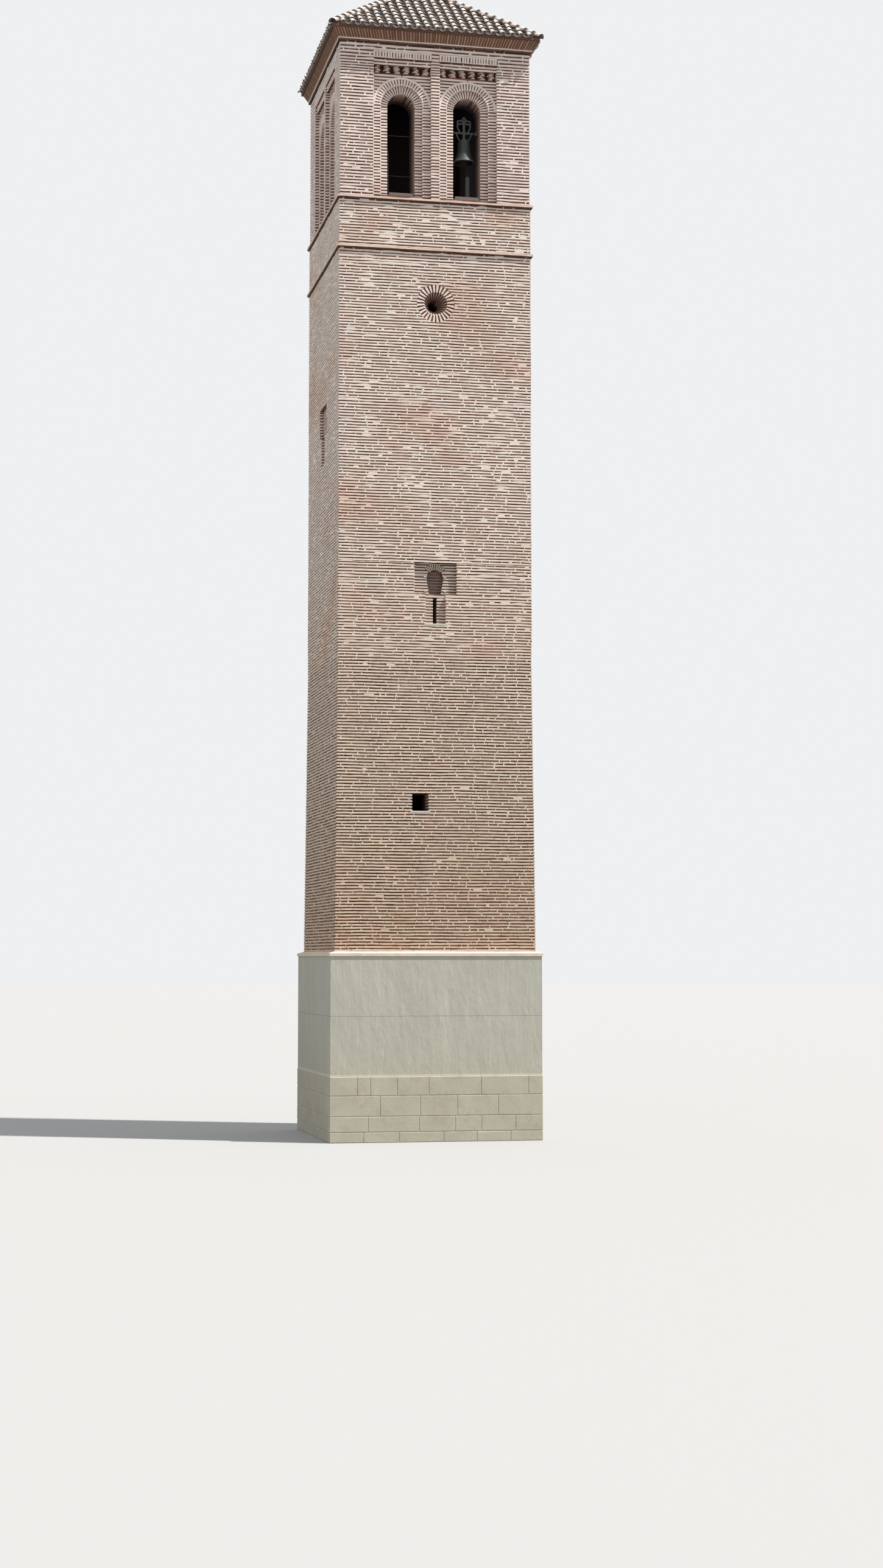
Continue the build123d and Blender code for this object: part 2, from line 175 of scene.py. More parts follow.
class TowerRoof(bpy.types.PropertyGroup):
    """Sizes of the barrel tiles."""
    tile_pitch: length_property("Tile spacing", "Distance between two columns of cover tiles", 0.24)
    tile_exposure: length_property("Tile exposure", "Length of a tile that shows", 0.27)
    tile_radius: length_property("Tile radius", "Radius of a cover tile at its lower end", 0.072)
    tile_thickness: length_property("Tile thickness", "Thickness of the fired clay", 0.014)


class TowerColours(bpy.types.PropertyGroup):
    """Main colours of the finishes."""
    brick: colour_property("Brick", "Recessed face of the old bricks", 122, 86, 74)
    shaft_mortar: colour_property("Shaft mortar", "Beds of the shaft", 246, 234, 223)
    belfry_mortar: colour_property("Belfry mortar", "Beds of the belfry", 247, 234, 226)
    render: colour_property("Render", "Lime render of the plinth", 185, 184, 171)
    granite: colour_property("Granite", "Blocks at the foot", 196, 190, 172)
    coping: colour_property("Coping", "Weathered capping of the plinth", 236, 220, 200)
    cornice: colour_property("Cornice brick", "Bricks of the cove and its base", 128, 90, 72)
    tile: colour_property("Tile", "Sun-bleached barrel tiles", 206, 197, 190)
    bronze: colour_property("Bronze", "Patina of the bell", 58, 64, 65)
    iron: colour_property("Iron", "Dull grey ironwork", 80, 80, 80)


def settings():
    scene = bpy.context.scene
    return scene.tower_brickwork, scene.tower_roof, scene.tower_colours


class Finish:
    """A procedural material, built up node by node on object coordinates."""

    def __init__(self, name, roughness=0.9, metallic=0.0):
        self.material = bpy.data.materials.new(name)
        self.material.use_nodes = True
        self.tree = self.material.node_tree
        self.shader = self.tree.nodes["Principled BSDF"]
        self.shader.inputs["Roughness"].default_value = roughness
        self.shader.inputs["Metallic"].default_value = metallic
        self.place = self.tree.nodes.new("ShaderNodeTexCoord").outputs["Object"]

    def plug(self, value, socket):
        """Link a socket, or set a plain value, on an input."""
        if isinstance(value, bpy.types.NodeSocket):
            self.tree.links.new(value, socket)
        else:
            socket.default_value = value

    def math(self, operation, first, second=0.0):
        node = self.tree.nodes.new("ShaderNodeMath")
        node.operation = operation
        self.plug(first, node.inputs[0])
        self.plug(second, node.inputs[1])
        return node.outputs[0]

    def stretched(self, x, y, z):
        node = self.tree.nodes.new("ShaderNodeMapping")
        node.inputs["Scale"].default_value = (x, y, z)
        self.tree.links.new(self.place, node.inputs["Vector"])
        return node.outputs[0]

    def noise(self, scale, detail=4.0, roughness=0.6, stretch=(1, 1, 1)):
        node = self.tree.nodes.new("ShaderNodeTexNoise")
        node.inputs["Scale"].default_value = scale
        node.inputs["Detail"].default_value = detail
        node.inputs["Roughness"].default_value = roughness
        self.tree.links.new(self.stretched(*stretch), node.inputs["Vector"])
        return node.outputs["Fac"]

    def speckle(self, scale):
        """Random value for each small grain."""
        node = self.tree.nodes.new("ShaderNodeTexVoronoi")
        node.inputs["Scale"].default_value = scale
        self.tree.links.new(self.place, node.inputs["Vector"])
        split = self.tree.nodes.new("ShaderNodeSeparateColor")
        self.tree.links.new(node.outputs["Color"], split.inputs[0])
        return split.outputs[0]

    def axis(self, name):
        split = self.tree.nodes.new("ShaderNodeSeparateXYZ")
        self.tree.links.new(self.place, split.inputs[0])
        return split.outputs[name]

    def band(self, value, low, high):
        """0 below low, 1 above high, even between."""
        node = self.tree.nodes.new("ShaderNodeMapRange")
        self.plug(value, node.inputs["Value"])
        node.inputs["From Min"].default_value = low
        node.inputs["From Max"].default_value = high
        return node.outputs[0]

    def mix(self, share, first, second, blend="MIX"):
        node = self.tree.nodes.new("ShaderNodeMix")
        node.data_type = "RGBA"
        node.blend_type = blend
        self.plug(share, node.inputs[0])
        self.plug(first, node.inputs[6])
        self.plug(second, node.inputs[7])
        return node.outputs[2]

    def over(self, face, mask, strength, colour):
        """Lay a colour over a face where a mask shows."""
        return self.mix(self.math("MULTIPLY", mask, strength), face, colour)

    def reach(self):
        """Distance out from the tower's axis, square in plan."""
        return self.math("MAXIMUM", *[self.math("ABSOLUTE", self.axis(name)) for name in "XY"])

    def direction(self):
        """The three parts of the direction in which the surface looks."""
        split = self.tree.nodes.new("ShaderNodeSeparateXYZ")
        self.tree.links.new(self.tree.nodes["Texture Coordinate"].outputs["Normal"], split.inputs[0])
        return split.outputs

    def colour(self, value):
        self.plug(value, self.shader.inputs["Base Color"])

    def bump(self, height, distance, strength=1.0):
        """Add a bump over any that is there already."""
        node = self.tree.nodes.new("ShaderNodeBump")
        node.inputs["Strength"].default_value = strength
        node.inputs["Distance"].default_value = distance
        self.tree.links.new(height, node.inputs["Height"])
        socket = self.shader.inputs["Normal"]
        if socket.is_linked:
            self.tree.links.new(socket.links[0].from_socket, node.inputs["Normal"])
        self.tree.links.new(node.outputs[0], socket)


def shade(colour, factor):
    """The same colour, lighter or darker."""
    return tuple(min(1.0, c * factor) for c in colour[:3]) + (1.0,)


def brick_grid(f, level, pitch, length):
    """Height in courses, and a random value for each brick and for the piece of mortar over it."""
    along = f.math("ADD", f.axis("X"), f.axis("Y"))
    row = f.math("DIVIDE", f.math("SUBTRACT", f.axis("Z"), level), pitch)
    course = f.math("FLOOR", row)
    column = f.math("ADD", f.math("DIVIDE", along, length), f.math("MULTIPLY", course, 0.37))
    cell = f.tree.nodes.new("ShaderNodeCombineXYZ")
    f.plug(f.math("FLOOR", column), cell.inputs[0])
    f.plug(course, cell.inputs[1])
    tone = f.tree.nodes.new("ShaderNodeTexWhiteNoise")
    f.plug(cell.outputs[0], tone.inputs["Vector"])
    return row, tone.outputs["Value"], f.math("FRACT", column)


def brick_finish(name, brick, mortar, level, pitch):
    """Old brick with a tone for each brick, browner courses painted in the reveals, and painted shade inside
    the room.
    """
    f = Finish(name, roughness=0.92)
    row, tone, _ = brick_grid(f, level, pitch, 0.27)
    face = f.mix(tone, shade(brick, 0.6), shade(brick, 1.45))
    dust = f.band(f.noise(14.0, 6.0, 0.7), 0.55, 0.8)
    face = f.over(face, dust, 0.25, shade(mortar, 0.5))
    reach = f.reach()
    bed = f.math("GREATER_THAN", f.math("FRACT", row), 0.4)
    # Courses painted in a browner tone deeper in the reveals
    reveal_tone = f.mix(f.noise(3.0, 5.0), paint(176, 146, 130), paint(222, 194, 176))
    reveal_courses = f.mix(bed, paint(124, 88, 76), reveal_tone)
    face = f.mix(f.math("LESS_THAN", reach, REVEAL_COURSES_HALF), face, reveal_courses)
    # Painted shade: further in towards the room the brick turns nearly black
    painted_room_shade = f.mix(f.noise(2.5, 5.0), paint(44, 33, 36), paint(66, 50, 52))
    face = f.mix(f.band(reach, REVEAL_COURSES_HALF - 0.12, ROOM_SHADE_HALF), face, painted_room_shade)
    f.colour(face)
    f.bump(f.noise(60.0, 6.0, 0.7), 0.006, 0.6)
    return f.material


def mortar_finish(name, tone, warm, level, recessed=False, broken_pitch=None):
    """Rough lime mortar: pale, with warmer beds, dirt and runs, and browner with age below the belfry.

    Where it is recessed it has warm zones, and painted shade darkens it in the niches. With a pitch its
    pieces differ, and it is broken, and rusty towards its foot.
    """
    f = Finish(name, roughness=0.95)
    face = f.mix(f.noise(1.1, 5.0, 0.6, (1, 1, 1.6)), shade(tone, 0.87), shade(tone, 1.07))
    bed = f.band(f.noise(1.6, 3.0, 0.55, (1, 1, 9)), 0.5, 0.74)
    face = f.over(face, bed, 0.5, warm)
    grime = f.band(f.noise(5.0, 8.0, 0.72, (1, 1, 2.5)), 0.54, 0.78)
    face = f.over(face, grime, 0.4, shade(warm, 0.65))
    run = f.band(f.noise(1.8, 6.0, 0.65, (3.0, 3.0, 0.25)), 0.54, 0.8)
    face = f.over(face, run, 0.2, shade(tone, 0.45))
    if level < BELFRY_LOW:
        aged = f.band(f.axis("Z"), KNEE + 5.0, COPING_TOP + 1.5)
        face = f.over(face, aged, 0.8, paint(202, 180, 152))
    if recessed:
        zone = f.band(f.noise(0.4, 3.0, 0.5, (1, 1, 1.5)), 0.5, 0.62)
        face = f.over(face, zone, 0.4, paint(222, 178, 152))
        # Painted shade: the mortar turns dark brown the deeper it lies in a recess
        painted_niche_shade = f.band(f.reach(), SHAFT_HALF - 0.05, SHAFT_HALF - 0.2)
        face = f.over(face, painted_niche_shade, 0.85, paint(104, 84, 76))
    if broken_pitch:
        _, piece, place = brick_grid(f, level, broken_pitch, 0.31)
        face = f.over(face, f.band(piece, 0.3, 1.0), 0.4, shade(tone, 0.62))
        rusty = f.math("MULTIPLY", f.band(f.axis("Z"), level + 3.0, level), 0.55)
        patch = f.band(f.noise(2.2, 6.0, 0.7, (1, 1, 3)), 0.44, 0.64)
        face = f.over(face, rusty, patch, paint(196, 136, 96))
        notch = f.math("MULTIPLY", f.math("LESS_THAN", place, 0.045), f.math("GREATER_THAN", piece, 0.5))
        face = f.over(face, notch, 0.8, shade(warm, 0.25))
    f.colour(f.over(face, f.speckle(260.0), 0.15, shade(tone, 0.6)))
    f.bump(f.noise(28.0, 8.0, 0.7), 0.006, 0.7)
    f.bump(f.noise(140.0, 4.0, 0.7), 0.002, 0.5)
    return f.material


def render_finish(tone):
    """Lime render: grey cream, with long streaks from rain and trowel marks."""
    f = Finish("streaked_render", roughness=0.9)
    face = f.mix(f.noise(0.8, 6.0, 0.55), shade(tone, 0.9), shade(tone, 1.08))
    streak = f.band(f.noise(2.2, 6.0, 0.6, (1.6, 1.6, 0.3)), 0.5, 0.75)
    face = f.over(face, streak, 0.5, shade(tone, 1.25))
    scratch = f.band(f.noise(7.0, 3.0, 0.5, (1.8, 1.8, 0.16)), 0.68, 0.74)
    face = f.over(face, scratch, 0.45, shade(tone, 1.45))
    dark = f.band(f.noise(3.0, 7.0, 0.68, (1.6, 1.6, 0.4)), 0.58, 0.8)
    face = f.over(face, dark, 0.3, shade(tone, 0.65))
    damp = f.band(f.axis("Z"), SOCLE_TOP + 1.6, SOCLE_TOP)
    face = f.over(face, damp, 0.35, paint(188, 178, 158))
    edge = f.band(f.axis("Z"), SOCLE_TOP + 0.06, SOCLE_TOP + 0.03)
    face = f.over(face, edge, 0.8, paint(214, 206, 184))
    seam = f.math("LESS_THAN", f.math("ABSOLUTE", f.math("SUBTRACT", f.axis("Z"), RENDER_SEAM)), 0.007)
    face = f.over(face, seam, 0.55, shade(tone, 0.4))
    f.colour(face)
    f.bump(f.noise(3.0, 6.0, 0.6, (1.5, 1.5, 0.5)), 0.03, 0.8)
    f.bump(f.noise(70.0, 5.0, 0.7), 0.003, 0.5)
    return f.material


def stone_finish(name, tone, vein, grain=120.0):
    """Weathered stone or brick with grains and a few darker stains."""
    f = Finish(name, roughness=0.88)
    face = f.mix(f.noise(2.0, 6.0, 0.6), shade(tone, 0.8), shade(tone, 1.15))
    stain = f.band(f.noise(3.6, 8.0, 0.7), 0.5, 0.75)
    face = f.over(face, stain, 0.5, vein)
    f.colour(f.over(face, f.speckle(grain), 0.35, shade(tone, 0.55)))
    f.bump(f.noise(26.0, 8.0, 0.7), 0.008, 0.6)
    f.bump(f.noise(160.0, 3.0), 0.002, 0.5)
    return f.material


def tile_finish(name, tone, painted_side_shade, lip):
    """Fired clay with lichen and some redder zones, pale on its bleached crown, with painted shade on its
    flanks and a painted tone on the faces that look down.
    """
    f = Finish(name, roughness=0.85)
    face = f.mix(f.noise(2.6, 3.0, 0.5), shade(tone, 0.8), shade(tone, 1.14))
    clay = f.band(f.noise(3.1, 4.0, 0.6), 0.52, 0.66)
    face = f.over(face, clay, 0.3, paint(206, 162, 138))
    lichen = f.band(f.noise(20.0, 8.0, 0.75), 0.58, 0.72)
    face = f.over(face, lichen, 0.55, paint(112, 98, 84))
    upward = f.direction()[2]
    # Painted shade: the flanks of a tile darken as they turn away from the sky
    face = f.mix(f.band(upward, 0.62, 0.15), face, painted_side_shade)
    # Painted light and shade on faces that look down: darker under cover tiles, a pale painted highlight on
    # the lips of channel tiles
    face = f.mix(f.band(upward, -0.1, -0.4), face, lip)
    f.colour(face)
    f.bump(f.noise(60.0, 6.0, 0.7), 0.004, 0.6)
    return f.material


def bedding_finish(edge):
    """Dark bed under the tiles, with brick along its edge."""
    f = Finish("tile_bed", roughness=0.9)
    face = f.mix(f.noise(6.0, 5.0), paint(56, 46, 42), paint(96, 82, 74))
    rim = f.math("MULTIPLY", f.math("GREATER_THAN", f.reach(), EAVES_HALF - 0.003),
                 f.math("LESS_THAN", f.axis("Z"), EAVES_TOP + 0.01))
    face = f.mix(rim, face, f.mix(f.noise(9.0, 6.0), shade(edge, 0.7), shade(edge, 1.1)))
    f.colour(face)
    f.bump(f.noise(60.0, 6.0, 0.7), 0.004, 0.6)
    return f.material


def patina(f, tone, darkest, strength, spot):
    """Cloudy face of old metal, with runs down it."""
    face = f.mix(f.noise(7.0, 6.0, 0.6, (1, 1, 0.4)), shade(tone, darkest), shade(tone, 1.25))
    runs = f.band(f.noise(12.0, 7.0, 0.7, (1.5, 1.5, 0.3)), 0.52, 0.72)
    return f.over(face, runs, strength, spot)


def bell_finish(tone):
    """Dull bronze, lighter at its lip, with painted shade that makes it black inside."""
    f = Finish("bell_bronze", roughness=0.55, metallic=0.35)
    face = patina(f, tone, 0.7, 0.5, shade(tone, 1.8))
    lip = f.math("LESS_THAN", f.axis("Z"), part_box("bell")[0].z + 0.035)
    face = f.over(face, lip, 0.5, shade(tone, 2.2))
    middle_x, middle_y = [(a + b) / 2 for a, b in zip(*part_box("bell"))][:2]
    direction = f.direction()
    facing = f.math("ADD", f.math("MULTIPLY", direction[0], f.math("SUBTRACT", f.axis("X"), middle_x)),
                    f.math("MULTIPLY", direction[1], f.math("SUBTRACT", f.axis("Y"), middle_y)))
    # Painted shade: faces that look in towards the bell's axis are black
    face = f.mix(f.math("LESS_THAN", facing, -0.01), face, paint(24, 24, 24))
    f.colour(face)
    f.bump(f.noise(90.0, 5.0, 0.7), 0.002, 0.5)
    return f.material


def iron_finish(name, tone, spot, metallic):
    """Dull ironwork."""
    f = Finish(name, roughness=0.6, metallic=metallic)
    f.colour(patina(f, tone, 0.6, 0.6, spot))
    f.bump(f.noise(90.0, 5.0, 0.7), 0.002, 0.5)
    return f.material


def make_finishes():
    """Every finish of the tower by its name: a tone first, then the tone of its stains or its warm zones."""
    work, _, colours = settings()
    brick, mortar, belfry = tuple(colours.brick), tuple(colours.shaft_mortar), tuple(colours.belfry_mortar)
    cornice = tuple(colours.cornice)
    bricks = {
        "lower_brick": (paint(116, 84, 68), mortar, COPING_TOP, work.lower_pitch),
        "upper_brick": (brick, mortar, KNEE, work.upper_pitch),
        "band_brick": (brick, mortar, BAND_LOW, work.upper_pitch),
        "belfry_brick": (brick, belfry, BELFRY_LOW, work.belfry_pitch),
    }
    mortars = {
        "lower_mortar": (mortar, paint(202, 166, 142), COPING_TOP, False, work.lower_pitch),
        "upper_mortar": (mortar, paint(206, 172, 154), KNEE, True),
        "belfry_mortar": (belfry, paint(200, 168, 152), BELFRY_LOW),
        "string_bed": (paint(238, 214, 198), paint(178, 132, 112), BELFRY_LOW),
        "frieze_mortar": (paint(222, 200, 186), paint(176, 138, 120), BELFRY_LOW),
    }
    stones = {
        # Brick behind the frieze's teeth, darkened as painted shade in the valleys between them
        "frieze_brick": (paint(98, 62, 52), paint(60, 38, 34)),
        # Dark brick of the strings and the round window's ring; below the strings' beds of mortar it is
        # painted shade too
        "ring_brick": (paint(104, 70, 58), paint(66, 44, 38)),
        "repair_mortar": (paint(212, 204, 194), paint(172, 160, 150)),
        "eaves_mortar": (paint(132, 126, 122), paint(88, 82, 78)),
        "granite": (tuple(colours.granite), paint(164, 152, 130)),
        "granite_joint": (paint(206, 198, 178), paint(170, 158, 138), 200.0),
        "coping": (tuple(colours.coping), paint(190, 160, 134)),
        "sill": (paint(126, 118, 112), paint(88, 78, 72)),
        "cornice_brick": (cornice, paint(74, 46, 38), 180.0),
        "cornice_joint": (paint(206, 172, 146), paint(110, 76, 60), 200.0),
        "cornice_shade": (shade(cornice, 0.4), paint(60, 42, 34), 200.0),
    }
    made = {
        "render": render_finish(tuple(colours.render)),
        # Cover tiles take painted shade on their flanks and beneath; channel tiles are dark clay with painted
        # shade of the valleys, and a painted highlight on their lips
        "tile": tile_finish("bleached_tile", tuple(colours.tile), paint(62, 55, 54), paint(150, 138, 130)),
        "channel_tile": tile_finish("channel_tile", paint(60, 52, 50), paint(38, 33, 34),
                                    paint(214, 206, 200)),
        "tile_bed": bedding_finish(shade(cornice, 0.9)),
        "bronze": bell_finish(tuple(colours.bronze)),
        "iron": iron_finish("iron", tuple(colours.iron), paint(92, 74, 62), 0.3),
        "pale_iron": iron_finish("pale_iron", paint(70, 62, 62), paint(70, 62, 60), 0.1),
    }
    for make, table in ((brick_finish, bricks), (mortar_finish, mortars), (stone_finish, stones)):
        for name, looks in table.items():
            made[name] = make(name, *looks)
    return made


FINISHES = {}


def to_world(face, x, y, z):
    """A point given on the front, carried to another face."""
    for _ in range(QUARTER_TURNS[face]):
        x, y = -y, x
    return Vector((x, y, z))


def add_piece(bm, name, finish, body="tower", smooth=True):
    """Make an object of a finished mesh, which sits at the origin and rides on its body."""
    mesh = bpy.data.meshes.new(name)
    bm.to_mesh(mesh)
    bm.free()
    piece = bpy.data.objects.new(name, mesh)
    bpy.context.scene.collection.objects.link(piece)
    mesh.materials.append(FINISHES[finish])
    if smooth:
        mesh.shade_smooth()
        mesh.set_sharp_from_angle(angle=math.radians(38))
    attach(piece, body)
    return piece


def finish_node(name, finish):
    """Give a CAD node its finish."""
    slots = NODES[name].material_slots
    if not slots:
        raise RuntimeError(f"{name} has no material slot")
    for slot in slots:
        slot.material = FINISHES[finish]


def bar_sheet(bm, bars, rows, place, lengthwise, keep=None):
    """Sheet of raised bars, four edges to a bar, whose gaps stay open.

    place(bar, edge, row) gives a point. keep(bar, row) says which runs of a bar stay.
    """
    bar_cells, row_cells = 4 * bars - 1, rows - 1
    across, up = (row_cells, bar_cells) if lengthwise else (bar_cells, row_cells)
    made = bmesh.ops.create_grid(bm, x_segments=across, y_segments=up, size=1)["verts"]
    spot = {}
    for vert in made:
        i, j = round((vert.co.x + 1) / 2 * across), round((vert.co.y + 1) / 2 * up)
        spot[vert] = (j, i) if lengthwise else (i, j)
    open_cells = []
    for face in {f for vert in made for f in vert.link_faces}:
        edge = min(spot[v][0] for v in face.verts)
        row = min(spot[v][1] for v in face.verts)
        if edge % 4 == 3 or (keep and not keep(edge // 4, row)):
            open_cells.append(face)
    for vert, (edge, row) in spot.items():
        vert.co = place(edge // 4, edge % 4, row)
    bmesh.ops.delete(bm, geom=open_cells, context="FACES")


def normals_of(points):
    """Outward mitre at each corner of a path, given as along and depth."""
    flat = []
    for (x0, d0), (x1, d1) in zip(points, points[1:]):
        length = math.hypot(x1 - x0, d1 - d0) or 1.0
        flat.append(((d1 - d0) / length, -(x1 - x0) / length))
    mitres = []
    for k in range(len(points)):
        before, after = flat[max(k - 1, 0)], flat[min(k, len(flat) - 1)]
        share = 1 + before[0] * after[0] + before[1] * after[1]
        mitres.append(((before[0] + after[0]) / max(share, 0.2), (before[1] + after[1]) / max(share, 0.2)))
    return mitres


def at(place, z):
    """A place along a wall, which may depend on the level, at one level."""
    return place(z) if callable(place) else place


def minus(place):
    """The same place on the other side of the middle."""
    return (lambda z: -place(z)) if callable(place) else -place


class Path:
    """Line along a wall in plan, whose corners may depend on the level, cut into short runs."""

    def __init__(self, corners, level, step, start="free", end="free"):
        self.corners = corners
        points = [(at(x, level), depth) for x, depth in corners]
        self.mitres = normals_of(points)
        self.ends = (start, end)
        if start == "corner":
            self.mitres[0] = (-1.0, -1.0)
        if end == "corner":
            self.mitres[-1] = (1.0, -1.0)
        self.stops = []
        for k, (a, b) in enumerate(zip(points, points[1:])):
            runs = max(1, round(math.hypot(b[0] - a[0], b[1] - a[1]) / step))
            shares = [s / runs for s in range(runs)]
            if k == 0 and start == "free":
                shares.insert(1, 0.1 / runs)
            if k == len(points) - 2 and end == "free":
                shares.append(1 - 0.1 / runs)
            self.stops += [(k, s) for s in shares]
        self.stops.append((len(points) - 2, 1.0))

    def station(self, index, level):
        """Along, depth, the outward mitre, and whether the bar ends here."""
        k, share = self.stops[index]
        (x0, d0), (x1, d1) = [(at(x, level), depth) for x, depth in self.corners[k:k + 2]]
        if share == 0.0:
            normal = self.mitres[k]
        elif share == 1.0:
            normal = self.mitres[k + 1]
        else:
            length = math.hypot(x1 - x0, d1 - d0) or 1.0
            normal = ((d1 - d0) / length, -(x1 - x0) / length)
        closed = (index == 0 and self.ends[0] == "free") or (
            index == len(self.stops) - 1 and self.ends[1] == "free")
        return x0 + (x1 - x0) * share, d0 + (d1 - d0) * share, normal, closed


def lay_beds(bm, face, half, path, levels, proud, wander, spread=0.6):
    """Beds of mortar along a path, one for each pair of levels.

    The edges of each bed are ragged, and here and there it spreads over the brick above it.
    """
    def place(bar, edge, row):
        low, high = levels[bar]
        z = (low, low + CHAMFER, high - CHAMFER, high)[edge]
        x, depth, normal, closed = path.station(row, z)
        flat = to_world(face, x, depth - at(half, z), z)
        upper = edge > 1
        plan = Vector((flat.x * 2.6, flat.y * 2.6, (low + high) * 17))
        ragged = Vector((flat.x * 9, flat.y * 9, (low + high) * 23 + 40 * upper))
        z += (noise.noise(flat * 0.8) + 0.6 * noise.noise(plan) + 0.8 * noise.noise(ragged)) * wander
        if upper:
            z += spread * min(0.03, 0.2 * max(0.0, noise.noise(plan * 0.8 + Vector((0, 0, 71.0))) - 0.3))
        lift = -SINK if closed or edge in (0, 3) else proud * (1 + 0.18 * noise.noise(plan * 1.7))
        return to_world(face, x + normal[0] * lift, depth - at(half, z) + normal[1] * lift, z)
    bar_sheet(bm, len(levels), len(path.stops), place, True)


def lay_heads(bm, face, half, span, rows, work, dice, spread):
    """Upright joints and smears of mortar in the rows of brick between two ends of a wall."""
    left, right, depth = span
    proud = work.head_proud
    foot = rows[0][0]
    count = max(1, round((at(right, foot) - at(left, foot)) / work.brick_length))
    table = []
    for _ in rows:
        shift = dice.uniform(0.2, 0.8)
        line = []
        for k in range(count):
            size = dice.random()
            wide = dice.uniform(0.008, 0.02)
            if size > 1 - 0.12 * spread:
                wide = dice.uniform(0.03, 0.06)
            elif size > 1 - 0.2 * spread:
                wide = dice.uniform(0.07, 0.14)
            flare = (dice.uniform(0.7, 1.5), dice.uniform(0.7, 1.5))
            line.append(((k + shift + dice.uniform(-0.3, 0.3)) / count, wide, flare, dice.random() > 0.52))
        table.append(line)

    def place(bar, edge, row):
        low, high = rows[row // 2]
        z = high if row % 2 else low
        share, wide, flare, _ = table[row // 2][bar]
        a, b = at(left, z), at(right, z)
        wide = min(wide * flare[row % 2], 0.45 * (b - a) / count)
        middle = min(max(a + (b - a) * share, a + wide + 0.01), b - wide - 0.01)
        x = middle + (-wide, 0.004 - wide, wide - 0.004, wide)[edge]
        lift = -SINK if edge in (0, 3) else proud * (0.8 + 0.4 * share)
        flat = to_world(face, x, depth - at(half, z), z)
        return to_world(face, x, depth - at(half, z) - lift, z + noise.noise(flat * 0.8) * 0.011)
    bar_sheet(bm, count, 2 * len(rows), place, False,
              lambda bar, row: row % 2 == 0 and table[row // 2][bar][3])


def courses(low, high, pitch, share):
    """Beds of mortar and rows of brick that fill a height, as pairs of levels."""
    count = max(1, round((high - low) / pitch))
    pitch = (high - low) / count
    beds = [(low + k * pitch, low + (k + share) * pitch) for k in range(count)]
    rows = [(low + (k + share) * pitch - 0.012, low + (k + 1) * pitch + 0.012) for k in range(count)]
    return beds, rows


def chord(radius, centre, z):
    """Half the width of a circle at a level."""
    return math.sqrt(max(0.0, radius ** 2 - (z - centre) ** 2))


def shaft_half(z):
    """Half the width of the lower shaft, which narrows up to its knee."""
    share = min(1, max(0, (z - COPING_TOP) / (KNEE - COPING_TOP)))
    return FOOT_HALF + (SHAFT_HALF - FOOT_HALF) * share


def mirrored(corners):
    """A line on the other side of the middle, still run from left to right."""
    return [(minus(x), depth) for x, depth in reversed(corners)]


def mirrored_spans(spans):
    return [(minus(right), minus(left), depth) for left, right, depth in reversed(spans)]


def flip(run):
    """A run of courses on the other side of the middle, where its ends swap places."""
    corners, start, end, spans = run
    return mirrored(corners), end, start, mirrored_spans(spans)


def both(corners, end, spans=()):
    """A run of courses across the middle, whose right half mirrors the left half that is given."""
    return corners + mirrored(corners), end, end, [*spans, *mirrored_spans(spans)]


def whole(half):
    """A run of courses over a plain wall, from corner to corner."""
    return [(minus(half), 0), (half, 0)], "corner", "corner", [(minus(half), half, 0)]


